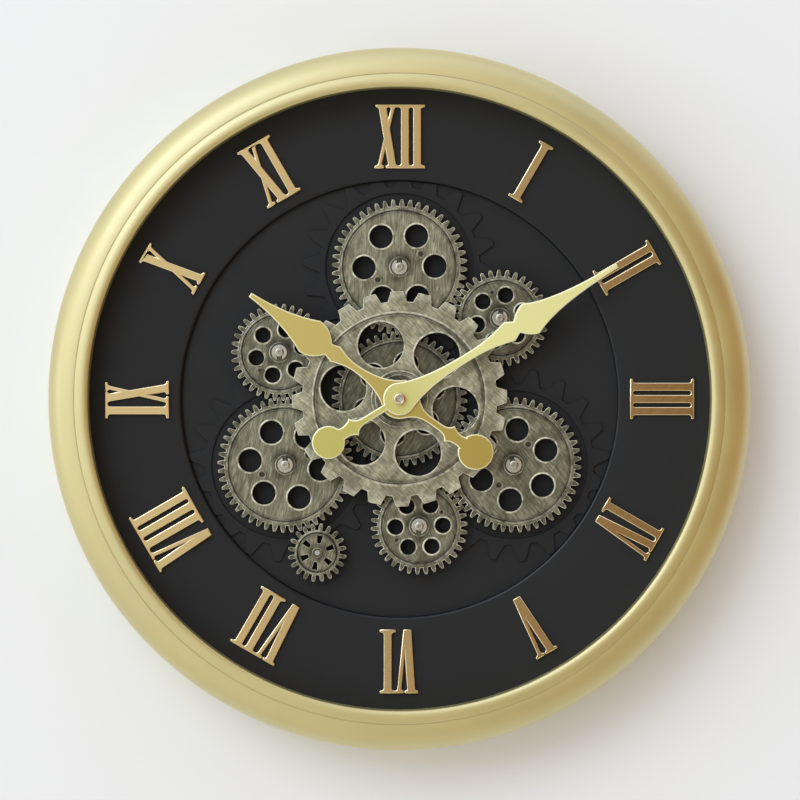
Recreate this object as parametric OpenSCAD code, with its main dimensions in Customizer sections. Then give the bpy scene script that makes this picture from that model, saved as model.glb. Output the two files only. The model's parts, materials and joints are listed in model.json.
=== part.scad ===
// Wall clock with an open gear train. A moulded gold frame holds a black two-layer dial with gold
// Roman numerals. A motor pinion turns one of three large gears round a hub gear, each large gear
// carries a medium gear along, and a quartz movement turns the two hands.
// Millimetres, +Z up, the dial faces -Y, and the origin is the hole that hangs on the wall.

/* [Frame] */
// Outer diameter of the frame
frame_d = 460; // [450:1:520]
// Radial width of the rounded outer moulding
nose_w = 17.4; // [14:0.1:20]
// Radius of the outer moulding's rounded edge
nose_round = 15.7; // [12:0.1:17]
// Radius of the outer moulding's crown, between its rounded edge and the groove
crown_round = 28; // [20:0.5:60]
// Slope where the crown meets the rounded edge, in degrees
crown_tilt = 17.5; // [12:0.5:24]
// Width of the fine groove between the two mouldings
groove_w = 1.2; // [0.6:0.1:2]
// Depth of the fine groove
groove_depth = 1.4; // [0.5:0.1:2]
// Radial width of the inner bead
bead_w = 8.4; // [7:0.1:11]
// Radial distance from the opening to the bead's crest
bead_crest = 3.5; // [2:0.1:6]
// Height of the bead's rounded inner edge
bead_round = 1.5; // [1:0.1:8]
// Drop of the bead from its crest to the groove
bead_drop = 1; // [0.2:0.1:2]
// Height of the crest above the dial
rim_rise = 23; // [18:0.5:30]
// Thickness of the moulded wall
frame_wall = 3; // [2:0.1:4]
// Thickness of the rib that locates the dial
rib_t = 3; // [2:0.1:4]
// Lean of the outer wall towards the back
draft = 2; // [0:0.5:3]
// Radius of the screw bosses in the frame's channel
boss_r = 4.5; // [3.5:0.1:5]

/* [Dial] */
// Overlap of the dial's edge under the bead
dial_lap = 6; // [3:0.5:7]
// Radial clearance of the dial inside the locating rib
dial_fit = 0.4; // [0.2:0.1:0.6]
// Thickness of the back panel
panel_t = 5; // [4:0.5:8]
// Thickness of the chapter ring in front of the panel
ring_t = 4; // [3:0.5:6]
// Chamfer on the recess edge of the chapter ring
ring_chamfer = 1.2; // [0.5:0.1:2]
// Gap between the feet of the numerals and the recess
recess_margin = 8.1; // [4:0.1:12]
// Depth of the cavity behind the back panel
cavity_depth = 26; // [26:1:40]

/* [Numerals] */
// Height of a numeral, along the dial's radius
numeral_h = 42; // [36:0.5:46]
// Thickness of a numeral
numeral_t = 2.5; // [1.5:0.1:4]
// Gap between the numerals and the frame's opening
numeral_margin = 9.8; // [6:0.1:16]
// Width of a thick stroke
stem_w = 5.3; // [4:0.1:6.5]
// Width of a thin stroke
hair_w = 2.6; // [1.8:0.1:3.5]
// Thickness of a serif bar
serif_t = 1.9; // [1.2:0.1:3]
// Overhang of a serif bar past an upright stroke
serif_over = 2.6; // [2:0.1:3]
// Overhang of a serif bar past a slanted stroke
slant_over = 1.8; // [1.2:0.1:2.2]
// Height of the curved bracket between a stroke and its serif
serif_bracket = 1.6; // [1:0.1:3]
// Pitch from one stem to the next
stem_pitch = 8; // [7:0.1:9]
// Places of the thick stroke of an X, at its top and foot
x_thick = [-3.2, 3.9]; // [-6:0.1:6]
// Places of the thin stroke of an X, at its top and foot
x_hair = [4.45, -5.2]; // [-6:0.05:6]
// Places of the thick stroke of a V, at its top and foot
v_thick = [-2.7, 0]; // [-6:0.1:6]
// Places of the thin stroke of a V, at its top and foot
v_hair = [5.6, 1.4]; // [-6:0.1:6]

/* [Gear train] */
// Gap between the large gears' teeth and the wall of the recess
train_margin = 12.33; // [8:0.01:16]
// Teeth of the hub gear and of each large gear
large_z = 48; // [48:2:52]
// Teeth of each medium gear
medium_z = 34; // [30:2:34]
// Teeth of the drive pinion
pinion_z = 20; // [18:1:22]
// Pressure angle of the teeth
pressure_angle = 20; // [18:1:24]
// Tooth thickness as a share of the pitch
tooth_share = 0.42; // [0.36:0.01:0.46]
// Height of a tooth above the pitch circle, in modules
addendum_k = 0.65; // [0.5:0.05:0.75]
// Depth of a tooth gap below the pitch circle, in modules
dedendum_k = 1.8; // [1.2:0.05:1.9]
// Thickness of the gears
gear_t = 4.5; // [3:0.5:6]
// Gap between the recess floor and the gears
gear_gap = 4.5; // [4.5:0.1:7]
// End play of the gears on their posts
end_play = 0.15; // [0.1:0.05:0.3]
// Radial running clearance of gears and shafts
run_fit = 0.05; // [0.03:0.01:0.1]
// Height of a gear's boss above its face
gear_boss_h = 1.5; // [1:0.1:2.5]
// Radius of a gear's boss
gear_boss_r = 6.5; // [6:0.1:7]
// Height of the raised lip round a window
lip_h = 0.4; // [0.2:0.1:0.8]
// Width of the raised lip round a window
lip_w = 0.8; // [0.5:0.1:1.2]
// Turn of a medium gear's place from its large gear's spoke, clockwise
medium_turn = 117; // [114:0.5:119]
// Direction of the pinion from the lower left large gear
pinion_dir = -70; // [-74:1:-60]
// Phase of the hub gear's teeth
hub_phase = 5.79; // [0:0.01:7.5]

/* [Gear faces] */
// Distance of the face groove inside the tooth roots
face_groove_in = 2.9; // [2:0.1:4]
// Width of the face groove
face_groove_w = 1; // [0.6:0.1:1.4]
// Depth of the face groove
face_groove_depth = 0.6; // [0.3:0.1:1]
// Width of the spoke between two windows of a large gear
large_spoke = 8; // [6:0.1:10]
// Gap between a large gear's windows and its face groove
large_rim = 6.26; // [4:0.01:8]
// Width of the spoke between two windows of a medium gear
medium_spoke = 5.3; // [4:0.1:7]
// Gap between a medium gear's windows and its face groove
medium_rim = 3.86; // [3:0.01:6]
// Turn of the windows of the top, left and right large gears, clockwise from upright
large_window_turn = [28.8, 37, 5.5]; // [0:0.1:60]
// Turn of the windows of the medium gears, in the order of their large gears
medium_window_turn = [-46, 16.5, 28]; // [-60:0.1:60]
// Turn of the hub gear's windows
hub_window_turn = 11; // [0:0.5:60]
// Radius of a large gear's dimples
large_dimple_r = 1.9; // [1:0.1:2.2]
// Radius of the circle of a large gear's dimples
large_dimple_at = 16.4; // [14:0.1:18]
// Radius of a medium gear's dimples
medium_dimple_r = 1.3; // [0.8:0.1:1.6]
// Radius of the circle of a medium gear's dimples
medium_dimple_at = 17.3; // [16:0.1:18]
// Start radius of the pinion's slots
slot_in = 6.2; // [5.5:0.1:7]
// Gap between the pinion's slots and its face groove
slot_margin = 1.56; // [1:0.01:3]
// Widths of the pinion's slots, at their inner and outer ends
slot_w = [2.4, 3.9]; // [1.5:0.1:4.5]
// Turn of the pinion's slots, clockwise from upright
slot_turn = 9.6; // [0:0.1:60]
// Radius of the pinion's boss
pinion_boss_r = 3.1; // [2.8:0.1:4]

/* [Centre gear] */
// Teeth of the coarse centre gear
centre_z = 24; // [20:1:26]
// Clearance from the coarse teeth to the bosses of the large gears
centre_clear = 9.6; // [6:0.1:14]
// Height of a coarse tooth
centre_tooth_h = 6.8; // [5:0.1:8]
// Thickness of a coarse tooth as a share of the pitch, at its root and tip
centre_tooth_share = [0.746, 0.451]; // [0.3:0.001:0.8]
// Turn of the coarse teeth, clockwise from upright
centre_turn = -1.4; // [-7.5:0.1:7.5]
// Thickness of the centre gear
centre_t = 4.5; // [3:0.5:6]
// Gap between the large gears and the centre gear
centre_gap = 1.8; // [1.5:0.1:3]
// Distance of the face groove inside the coarse tooth roots
centre_groove_in = 7.9; // [6:0.1:9]
// Width of the spoke between two windows of the centre gear
centre_spoke = 7.3; // [5:0.1:9]
// Gap between the centre gear's windows and its face groove
centre_rim = 3.3; // [2:0.1:5]
// Gap between the centre gear's windows and its boss
centre_boss_gap = 3.9; // [2:0.1:6]
// Turn of the centre gear's windows, clockwise from upright
centre_window_turn = -19; // [-30:0.5:30]
// Height of the centre gear's boss
centre_boss_h = 1.5; // [1:0.1:2.5]
// Radius of the hub gear's boss behind the centre gear
hub_boss_r = 12; // [10:0.5:14]

/* [Posts] */
// Radius of a post's journal
post_r = 3; // [2.5:0.1:3.5]
// Radius of a post's flange
post_flange_r = 6; // [5:0.1:7]
// Radius of a post's threaded shank
post_shank_r = 2.5; // [2:0.1:2.8]
// Thickness of the retaining clip
clip_t = 0.8; // [0.5:0.1:1.2]
// Outer radius of the retaining clip
clip_r = 5; // [4.5:0.1:6]
// Width of the retaining clip's mouth
clip_mouth = 3.6; // [3:0.1:4]
// Turns of the retaining clips' mouths, clockwise from upright, large gears first
clip_turn = [0, 2, -18, 10, 178, 186]; // [-180:1:360]
// Depth of the clip's groove in the post
clip_groove = 0.7; // [0.4:0.1:1]
// Length of a post in front of its clip
post_end = 1.2; // [0.8:0.1:2]
// Radius of the countersink in a post's end
post_dimple_r = 1.3; // [0.8:0.1:1.6]
// Thickness of a nut behind the panel
rear_nut_t = 2.8; // [2:0.1:4]
// Width across the flats of a nut behind the panel
rear_nut_af = 8; // [7:0.1:10]
// Length of thread past a nut
thread_past = 1; // [0.5:0.1:2]

/* [Hands] */
// Reach of the minute hand over the feet of the numerals
minute_over = 15.2; // [5:0.1:30]
// Gap from the hour hand's tip to the feet of the numerals
hour_short = 32.4; // [20:0.1:40]
// Thickness of a hand
hand_t = 1; // [0.6:0.1:1.6]
// Half width of a hand's tip
hand_tip = 1.6; // [1:0.1:2.2]
// Gap between the two hands
hand_gap = 1; // [0.6:0.1:2]
// Radius of the minute hand's boss
minute_boss_r = 10.8; // [9:0.1:11.5]
// Radius of the minute hand's round tail
minute_tail_r = 10.9; // [9:0.1:12]
// Radius of the hour hand's boss
hour_boss_r = 13.1; // [12:0.1:14]
// Radius of the hour hand's round tail
hour_tail_r = 11.8; // [10:0.1:13]
// Turn of the minute hand at rest, clockwise from twelve
minute_turn = 58.5; // [0:0.5:360]
// Turn of the hour hand at rest, clockwise from twelve
hour_turn = 304.9; // [0:0.1:360]
// Radius of the round nut on the minute shaft
cap_r = 4; // [3:0.1:5]
// Height of the round nut
cap_h = 3.4; // [2.5:0.1:5]
// Radius of the round nut's rounded edge
cap_round = 1.2; // [0.4:0.1:1.6]
// Radius of the round nut's countersink
cap_sink_r = 2.6; // [2:0.1:3]
// Depth of the round nut's countersink
cap_sink = 1.1; // [0.5:0.1:1.6]

/* [Centre stem] */
// Radius of the minute shaft
minute_r = 1.5; // [1.2:0.1:1.8]
// Wall of the hour tube
hour_wall = 0.95; // [0.7:0.05:1.2]
// Wall of the threaded stem
stem_wall = 1.45; // [1.2:0.05:2]
// Wall of the bush that carries the centre gear
bush_wall = 1.9; // [1.5:0.1:2.5]
// Clearance of the bush round the stem, and of the panel's holes round the posts
bush_fit = 0.1; // [0.05:0.05:0.2]
// Radius of the bush's flange on the dial
bush_flange_r = 10; // [8:0.5:12]
// Thickness of the stem washer
washer_t = 0.8; // [0.5:0.1:1.2]
// Radius of the stem washer
washer_r = 9; // [8:0.5:12]
// Thickness of the stem nut
stem_nut_t = 2.2; // [1.8:0.1:3]
// Width across the flats of the stem nut
stem_nut_af = 12; // [11:0.1:14]
// Length of stem past its nut
stem_past = 0.5; // [0.3:0.1:1]
// Gap between the stem and the hour hand
stem_gap = 0.6; // [0.4:0.1:1.5]

/* [Movement] */
// Width of the movement's case
move_w = 56; // [56:1:60]
// Height of the case above the hand axis
move_up = 27; // [26:0.5:32]
// Depth of the movement's case
move_depth = 18; // [18:0.5:20]
// Wall of the two cases
case_wall = 1.8; // [1.4:0.1:2.2]
// Thickness of the covers
cover_t = 1.6; // [1.2:0.1:2]
// Clearance of a cover inside its case
cover_fit = 0.15; // [0.1:0.05:0.3]
// Height of the gear chamber below the hand axis
chamber_down = 12.4; // [11.5:0.1:14]
// Diameter of an AA cell
cell_d = 14.5; // [14.2:0.1:14.5]
// Length of an AA cell with its button
cell_len = 50.5; // [49.5:0.1:50.5]
// Radius of an AA cell's button
button_r = 2.75; // [2.5:0.05:3]
// Length of an AA cell's button
button_len = 1; // [0.8:0.1:1.4]
// Clearance round a cell
cell_fit = 0.25; // [0.2:0.05:0.4]
// Thickness of a contact plate
contact_t = 0.5; // [0.3:0.1:0.8]
// Height of a contact's pressed dome
contact_dome = 0.4; // [0.3:0.1:0.6]
// Direction of the setting arbor from the hand axis
setting_dir = 30; // [20:5:60]
// Module of the cannon pinion and minute wheel
cannon_m = 0.5; // [0.5:0.01:0.52]
// Teeth of the two small pinions
small_z = 12; // [10:1:13]
// Thickness of the minute wheel and hour wheel
wheel_t = 1.6; // [1.2:0.1:2]
// Gap between neighbouring wheels and walls in the movement
wheel_gap = 0.5; // [0.4:0.1:0.8]
// Radius of the setting arbor
arbor_r = 1.5; // [1.2:0.1:1.8]
// Radius of the setting knob
knob_r = 6.5; // [5:0.1:8]
// Height of the setting knob
knob_h = 5.5; // [4:0.1:6]
// Flutes round the setting knob
knob_flutes = 24; // [18:1:30]
// Depth of a flute
flute_depth = 0.4; // [0.2:0.1:0.6]
// Radius of the fine pivots
pivot_r = 1; // [0.7:0.1:1.1]
// Length of the fine pivots
pivot_len = 1.2; // [0.8:0.1:1.4]
// Radius of the bearing for the minute shaft's rear pivot
bearing_r = 2.6; // [2:0.1:3.5]
// Height of that bearing
bearing_h = 2.4; // [2:0.1:3]
// Thickness of the circuit board
board_t = 1; // [0.6:0.1:1.6]
// Width of the circuit board
board_w = 12; // [8:0.5:13]
// Radius of the coil
coil_r = 3.2; // [2.5:0.1:4]
// Length of the coil
coil_len = 20; // [15:0.5:24]
// Thickness of the coil's end flanges
coil_flange_t = 2; // [1:0.1:3]
// Radius of the rounded corners of the two cases
case_corner = 2; // [1:0.1:3]

/* [Gear drive] */
// Width of the drive's case
drive_w = 60; // [58:1:66]
// Height of the drive's motor chamber above the pinion axis
drive_up = 17; // [16:0.5:20]
// Depth of the drive's case
drive_depth = 19; // [18.5:0.5:22]
// Radius of the drive motor
motor_r = 12.5; // [11:0.1:13]
// Depth of the drive motor
motor_depth = 13; // [11:0.5:14]
// Radius of the motor's bearing nose
motor_nose_r = 3.5; // [3:0.1:4]
// Clearance round the motor's bearing nose
motor_nose_fit = 0.2; // [0.1:0.05:0.4]
// Radius of the drive shaft
drive_shaft_r = 1.6; // [1.3:0.1:2]
// Length of the drive shaft inside the motor
drive_shaft_in = 5; // [3:0.5:8]
// Length of the drive shaft past the pinion
drive_shaft_past = 0.5; // [0.3:0.1:1]
// Size of a fixing ear
ear_w = 10; // [9:0.5:14]
// Thickness of a fixing ear
ear_t = 2.2; // [1.6:0.1:3]

/* [Fixings] */
// Number of clips that hold the dial in the frame
dial_clip_n = 8; // [8:4:12]
// Width of a dial clip
dial_clip_w = 12; // [9:0.5:16]
// Thickness of a dial clip
dial_clip_t = 1.2; // [0.8:0.1:2]
// Reach of a dial clip over the back panel
dial_clip_lap = 7; // [4:0.5:12]
// Radius of the small screws' shanks
screw_r = 1.4; // [1.2:0.1:1.6]
// Radius of the small screws' heads
screw_head_r = 2.9; // [2.4:0.1:3.4]
// Height of the small screws' heads
screw_head_h = 1.7; // [1.2:0.1:1.9]
// Length of the screws into the frame's bosses
boss_screw_len = 11; // [8:0.5:14]
// Length of the screws into the back panel
panel_screw_len = 4; // [3:0.1:4]
// Depth of the cross recess in a screw head
cross_depth = 0.9; // [0.5:0.1:1.1]
// Clearance of a screw hole round its screw
screw_fit = 0.2; // [0.1:0.05:0.4]
// Thickness of the wall bumpers
bumper_t = 2; // [2:0.1:4]
// Radius of the wall bumpers
bumper_r = 4.2; // [3:0.1:4.4]

/* [Hanger] */
// Width of the hanger plate
hanger_w = 52; // [48:1:60]
// Thickness of the hanger plate
hanger_t = 1.5; // [1:0.1:2]
// Spacing of the hanger's screws
hanger_span = 38; // [34:1:44]
// Radius of the keyhole's round entry
key_r = 5; // [4:0.1:6]
// Half width of the keyhole's slot
key_slot_r = 2.2; // [1.8:0.1:2.6]
// Rise from the round entry to the end of the slot
key_rise = 8; // [7:0.5:10]
// Radius of the rounded corners of the hanger plate and the dial clips
plate_corner = 3; // [1:0.5:4]
// Margin of the plate round its holes
hanger_margin = 4; // [3.5:0.5:6]

/* [Hidden] */
$fn = 96;
arc_steps = 9;
bend_steps = 8;
bracket_steps = 4;
flank_steps = 3;

// Letters of the twelve numerals
NUMERALS = ["I", "II", "III", "IV", "V", "VI", "VII", "VIII", "IX", "X", "XI", "XII"];

// Colours
gold = [0.80, 0.70, 0.45];
pale_gold = [0.87, 0.82, 0.52];
black = [0.14, 0.14, 0.15];
pewter = [0.56, 0.54, 0.46];
steel = [0.75, 0.75, 0.74];
brass = [0.76, 0.62, 0.32];
plastic_grey = [0.22, 0.22, 0.23];
rubber_black = [0.08, 0.08, 0.08];
copper = [0.70, 0.40, 0.22];
board_green = [0.10, 0.32, 0.18];

// Radii of the frame and dial
frame_r = frame_d / 2;
nose_at = frame_r - nose_round;
crown_at = nose_at - (crown_round - nose_round) * sin(crown_tilt);
lip_tilt = asin((frame_r - nose_w - crown_at) / crown_round);
groove_r = frame_r - nose_w - groove_w / 2;
opening_r = frame_r - nose_w - groove_w - bead_w;
crest_r = opening_r + bead_crest;
dial_r = opening_r + dial_lap;
rabbet_r = dial_r + dial_fit;
channel_in_r = rabbet_r + rib_t;
channel_out_r = frame_r - frame_wall;
boss_at = (channel_in_r + channel_out_r - draft) / 2;
numeral_out_r = opening_r - numeral_margin;
numeral_in_r = numeral_out_r - numeral_h;
recess_r = numeral_in_r - recess_margin;

// Levels, from the wall towards the viewer
z_rim = bumper_t;
z_panel = z_rim + cavity_depth;
z_floor = z_panel + panel_t;
z_dial = z_floor + ring_t;
z_crest = z_dial + rim_rise;
z_lip = z_crest - bead_drop;
z_crown = z_lip - crown_round * cos(lip_tilt);
z_side = z_crown + (crown_round - nose_round) * cos(crown_tilt);
z_gear = z_floor + gear_gap;
z_gear_top = z_gear + gear_t;
z_gear_boss = z_gear_top + gear_boss_h;
z_clip = z_gear_boss + end_play;
z_centre = z_gear_top + centre_gap;
z_centre_top = z_centre + centre_t;
z_centre_boss = z_centre_top + centre_boss_h;
z_bush_top = z_centre_boss + end_play;
z_washer_top = z_bush_top + washer_t;
z_stem_nut_top = z_washer_top + stem_nut_t;
z_stem_top = z_stem_nut_top + stem_past;
z_hour = z_stem_top + stem_gap;
z_hour_top = z_hour + hand_t;
z_minute = z_hour_top + hand_gap;
z_minute_top = z_minute + hand_t;
z_cap_top = z_minute_top + cap_h;

// Radii along the hand axis, each from the one inside it
hour_in_r = minute_r + run_fit;
hour_r = hour_in_r + hour_wall;
stem_in_r = hour_r + run_fit;
stem_r = stem_in_r + stem_wall;
bush_in_r = stem_r + bush_fit;
bush_r = bush_in_r + bush_wall;
hub_bore_r = bush_r + run_fit;
gear_bore_r = post_r + run_fit;

// Outlines of the hands: place along the hand and half width
minute_len = numeral_in_r + minute_over;
hour_len = numeral_in_r - hour_short;
minute_leaf = [[minute_len, hand_tip], [118, 2], [100.5, 11.2], [95.5, 10.6], [89.5, 4.3]];
minute_stem = [[84.2, 7.2], [72, 3.6], [60, 2.8], [20, 1.7], [3, 10.4]];
minute_arm = [[-28, 2.2], [-33, 2.6], [-35, 6.6], [-38, 3.2], [-43.8, 4]];
minute_tail = [-54.3, 0];
hour_leaf = [[hour_len, hand_tip], [90, 3.2], [71.5, 12.2], [63, 12.6], [56.5, 4.2]];
hour_stem = [[50.8, 5.9], [43, 2.8], [35.5, 2.4], [14, 2.8], [4, 12.5]];
hour_arm = [[-33, 2.3], [-38, 2.6], [-39.6, 6.3], [-44, 2.6], [-50, 4.2]];
hour_fillet_from = 138;
hour_fillet = [polar(hour_boss_r, hour_fillet_from), [-15.6, hour_arm[0][1]], [-24, hour_arm[0][1]]];
hour_tail = [-60.5, 0];

// Gear train: pitch radii, places and mesh phases
function pitch_r(z, m) = z * m / 2;
function tip_r(z, m) = pitch_r(z, m) + addendum_k * m;
function root_r(z, m) = pitch_r(z, m) - dedendum_k * m;
function polar(r, a) = r * [cos(a), sin(a)];
function mesh_phase(phase, z1, z2, dir) = dir + 180 + (180 - (phase - dir) * z1) / z2;

// The module lets the train fill the recess: hub gear, large gear and addendum make up its reach
train_m = (recess_r - train_margin) / (1.5 * large_z + addendum_k);
large_dir = [90, 210, 330];
train_c = pitch_r(2 * large_z, train_m);
medium_c = pitch_r(large_z + medium_z, train_m);
pinion_c = pitch_r(large_z + pinion_z, train_m);
large_pos = [for (a = large_dir) polar(train_c, a)];
large_phase = [for (a = large_dir) mesh_phase(hub_phase, large_z, large_z, a)];
medium_dir = [for (a = large_dir) a - medium_turn];
medium_pos = [for (i = [0:2]) large_pos[i] + polar(medium_c, medium_dir[i])];
medium_phase = [for (i = [0:2]) mesh_phase(large_phase[i], large_z, medium_z, medium_dir[i])];
pinion_pos = large_pos[1] + polar(pinion_c, pinion_dir);
pinion_phase = mesh_phase(large_phase[1], large_z, pinion_z, pinion_dir);
post_pos = concat(large_pos, medium_pos);
centre_tip_r = train_c - gear_boss_r - centre_clear;
centre_root_r = centre_tip_r - centre_tooth_h;

// Face grooves and windows. Six windows stand as far from each other as from the axis,
// so a spoke, three window radii and the rim make up the groove's radius.
function groove_in_r(z) = root_r(z, train_m) - face_groove_in;
large_groove_r = groove_in_r(large_z);
medium_groove_r = groove_in_r(medium_z);
pinion_groove_r = groove_in_r(pinion_z) + face_groove_w;
centre_groove_r = centre_root_r - centre_groove_in;
large_window_r = (large_groove_r - large_rim - large_spoke) / 3;
large_window_at = 2 * large_window_r + large_spoke;
medium_window_r = (medium_groove_r - medium_rim - medium_spoke) / 3;
medium_window_at = 2 * medium_window_r + medium_spoke;
centre_window_r = (centre_groove_r - centre_rim - centre_spoke) / 3;
centre_window_at = 2 * centre_window_r + centre_spoke;
centre_boss_r = centre_window_at - centre_window_r - centre_boss_gap;
slot_len = pinion_groove_r - slot_margin - slot_in;

// Motion work: 3 to 1 and then 4 to 1, both pairs on one centre distance
minute_wheel_z = 3 * small_z;
hour_wheel_z = 4 * small_z;
motion_c = pitch_r(small_z + minute_wheel_z, cannon_m);
hour_m = 2 * motion_c / (small_z + hour_wheel_z);
setting_pos = polar(motion_c, setting_dir);
minute_wheel_phase = mesh_phase(0, small_z, minute_wheel_z, setting_dir);
hour_wheel_phase = mesh_phase(0, small_z, hour_wheel_z, setting_dir + 180);

// Levels inside the movement, from its front plate backwards
z_move_in = z_panel - case_wall;
z_move_back = z_panel - move_depth;
z_move_cover = z_move_back + cover_t;
z_hour_wheel = z_move_in - wheel_gap - wheel_t;
z_minute_wheel = z_hour_wheel - wheel_gap - wheel_t;
z_cannon_back = z_minute_wheel - wheel_gap;
z_knob_top = z_move_back - wheel_gap;
// Cells, pockets and cases
pocket_len = cell_len + 2 * (contact_t + contact_dome);
pocket_h = cell_d + 2 * cell_fit;
z_cell = z_panel - case_wall - cell_fit - cell_d / 2;
move_cell_y = -chamber_down - case_wall - pocket_h / 2;
move_down = chamber_down + 2 * case_wall + pocket_h;
drive_down = motor_r + cell_fit + 2 * case_wall + 2 * pocket_h + case_wall;
drive_cell_y = [for (i = [0:1]) -motor_r - cell_fit - case_wall - pocket_h / 2 - i * (pocket_h + case_wall)];
z_drive_back = z_panel - drive_depth;
z_motor_front = z_panel - case_wall;
z_nose_top = z_floor;
// Hanger
hanger_screw_y = boss_at;
key_y = hanger_screw_y - boss_r - hanger_margin - key_rise - key_slot_r;
hanger_y = [key_y - key_r - hanger_margin, hanger_screw_y + boss_r];
bumper_dirs = [45, 135, 225, 315];
clip_dirs = [for (i = [0:dial_clip_n - 1]) (i + 0.5) * 360 / dial_clip_n];

numeral_nodes = [for (i = [1:12]) str("numeral_", i)];

// Curve from a to c that bends towards b
function bend(a, b, c, n, first = 0) =
    [for (i = [first:n]) let (t = i / n) (1 - t) ^ 2 * a + 2 * t * (1 - t) * b + t ^ 2 * c];
// Such curves one after another: every second point of the list is one that a curve bends towards
function curve(p) = concat([p[0]],
    [for (i = [0:2:len(p) - 3]) each bend(p[i], p[i + 1], p[i + 2], bend_steps, 1)]);
// Points of an arc round p, with separate radii along x and y
function arc(p, rx, ry, a0, a1, n = arc_steps) =
    [for (i = [0:n]) let (a = a0 + (a1 - a0) * i / n) p + [rx * cos(a), ry * sin(a)]];
// A half outline, from its tip to its tail, closed by its own mirror image
function mirrored(half) = concat(half, [for (i = [len(half) - 1:-1:0]) [half[i][0], -half[i][1]]]);

// Involute teeth: half the tooth's angle at radius r
function inv(rb, r) = let (a = acos(min(1, rb / r))) tan(a) * 180 / PI - a;
function half_tooth(z, rb, rp, r) = 180 * tooth_share / z + inv(rb, rp) - inv(rb, r);
function tooth(z, m, at) =
    let (rp = pitch_r(z, m), rb = rp * cos(pressure_angle), rr = root_r(z, m))
    let (r0 = max(rb, rr), radii = [for (i = [0:flank_steps]) r0 + (tip_r(z, m) - r0) * i / flank_steps])
    concat([polar(rr, at - half_tooth(z, rb, rp, r0))],
        [for (r = radii) polar(r, at - half_tooth(z, rb, rp, r))],
        [for (i = [flank_steps:-1:0]) polar(radii[i], at + half_tooth(z, rb, rp, radii[i]))],
        [polar(rr, at + half_tooth(z, rb, rp, r0))]);
function gear_outline(z, m, phase) = [for (i = [0:z - 1]) each tooth(z, m, phase + i * 360 / z)];

// Puts a shape drawn on the dial, with z towards the viewer, into the clock's own frame
module place()
    translate([0, z_rim, -key_y]) rotate([90, 0, 0]) children();

// A ring or disc between two levels
module disc(r, z0, z1) translate([0, 0, z0]) cylinder(r = r, h = z1 - z0);
module tube(r, bore, z0, z1) difference() {
    disc(r, z0, z1);
    disc(bore, z0 - 1, z1 + 1);
}
// A plate with round corners between two levels, from corner a to corner b
module plate(a, b, corner, z0, z1) translate([0, 0, z0]) linear_extrude(z1 - z0) {
    translate([a[0] + corner, a[1]]) square([b[0] - a[0] - 2 * corner, b[1] - a[1]]);
    translate([a[0], a[1] + corner]) square([b[0] - a[0], b[1] - a[1] - 2 * corner]);
    for (x = [a[0] + corner, b[0] - corner], y = [a[1] + corner, b[1] - corner])
        translate([x, y]) circle(corner);
}
// A hexagon nut between two levels
module hex_nut(af, bore, z0, z1) difference() {
    translate([0, 0, z0]) cylinder(r = af / sqrt(3), h = z1 - z0, $fn = 6);
    disc(bore, z0 - 1, z1 + 1);
}
module at(p) translate([p[0], p[1], 0]) children();
// Copies on a circle, each turned to its own direction
module around(dirs, r) for (a = dirs) rotate(a) translate([r, 0, 0]) children();
// A pan head screw that points towards the viewer, with its head's underside at z
module screw(z, len) difference() {
    union() {
        disc(screw_r, z - screw_head_h / 2, z + len);
        disc(screw_head_r, z - screw_head_h, z);
    }
    for (a = [0, 90]) rotate(a) translate([-screw_r, -screw_r / 4, z - screw_head_h - 1])
        cube([2 * screw_r, screw_r / 2, 1 + cross_depth]);
}

// Frame: a hollow moulded ring, open at the back
// The outer moulding from its side to a slope, with its surface drawn in by a depth
function nose(depth, slope) = concat(
    arc([nose_at, z_side], nose_round - depth, nose_round - depth, 0, 90 - crown_tilt),
    arc([crown_at, z_crown], crown_round - depth, crown_round - depth, 90 - crown_tilt + 1, 90 - slope));

function frame_profile() =
    concat([[frame_r - draft, z_rim]],
        nose(0, lip_tilt),
        [[groove_r, z_lip - groove_depth]],
        [for (i = [arc_steps:-1:1]) let (s = i / arc_steps)
            [crest_r + s * (bead_w - bead_crest), z_crest - bead_drop * s ^ 2]],
        arc([crest_r, z_crest - bead_round], bead_crest, bead_round, 90, 180),
        [[opening_r, z_dial], [rabbet_r, z_dial], [rabbet_r, z_panel], [channel_in_r, z_panel],
        [channel_in_r, z_lip - groove_depth - frame_wall]],
        reversed(nose(frame_wall, crown_tilt / 2)),
        [[channel_out_r - draft, z_rim]]);

// The bosses end in the middle of the moulded wall
function boss_reach() = concat([[channel_out_r, z_rim]], nose(frame_wall / 2, lip_tilt), [[channel_in_r, z_rim]]);

module frame_boss(z0) difference() {
    disc(boss_r, z0, z_lip);
    disc(screw_r, z0 - 1, z0 + boss_screw_len + 1);
}

module outer_frame() color(gold) place() {
    rotate_extrude() polygon(frame_profile());
    intersection() {
        union() {
            around(clip_dirs, boss_at) frame_boss(z_panel);
            around(bumper_dirs, boss_at) disc(boss_r, z_rim, z_lip);
            for (s = [-1, 1]) at([s * hanger_span / 2, hanger_screw_y]) frame_boss(z_rim + hanger_t);
        }
        rotate_extrude() polygon(boss_reach());
    }
}

// Dial: a back panel with the gears on it, and a chapter ring in front
module chapter_ring() color(black) place() rotate_extrude()
    polygon([[recess_r, z_floor], [dial_r, z_floor], [dial_r, z_dial],
        [recess_r + ring_chamfer, z_dial], [recess_r, z_dial - ring_chamfer]]);

module back_panel() color(black) place() difference() {
    disc(dial_r, z_panel, z_floor);
    disc(stem_r, z_panel - 1, z_floor + 1);
    for (p = post_pos) at(p) disc(post_shank_r + bush_fit, z_panel - 1, z_floor + 1);
    at(pinion_pos) disc(motor_nose_r + motor_nose_fit, z_panel - 1, z_floor + 1);
    at(pinion_pos) drive_screw_places() disc(screw_r, z_panel - 1, z_panel + panel_screw_len);
}

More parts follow.
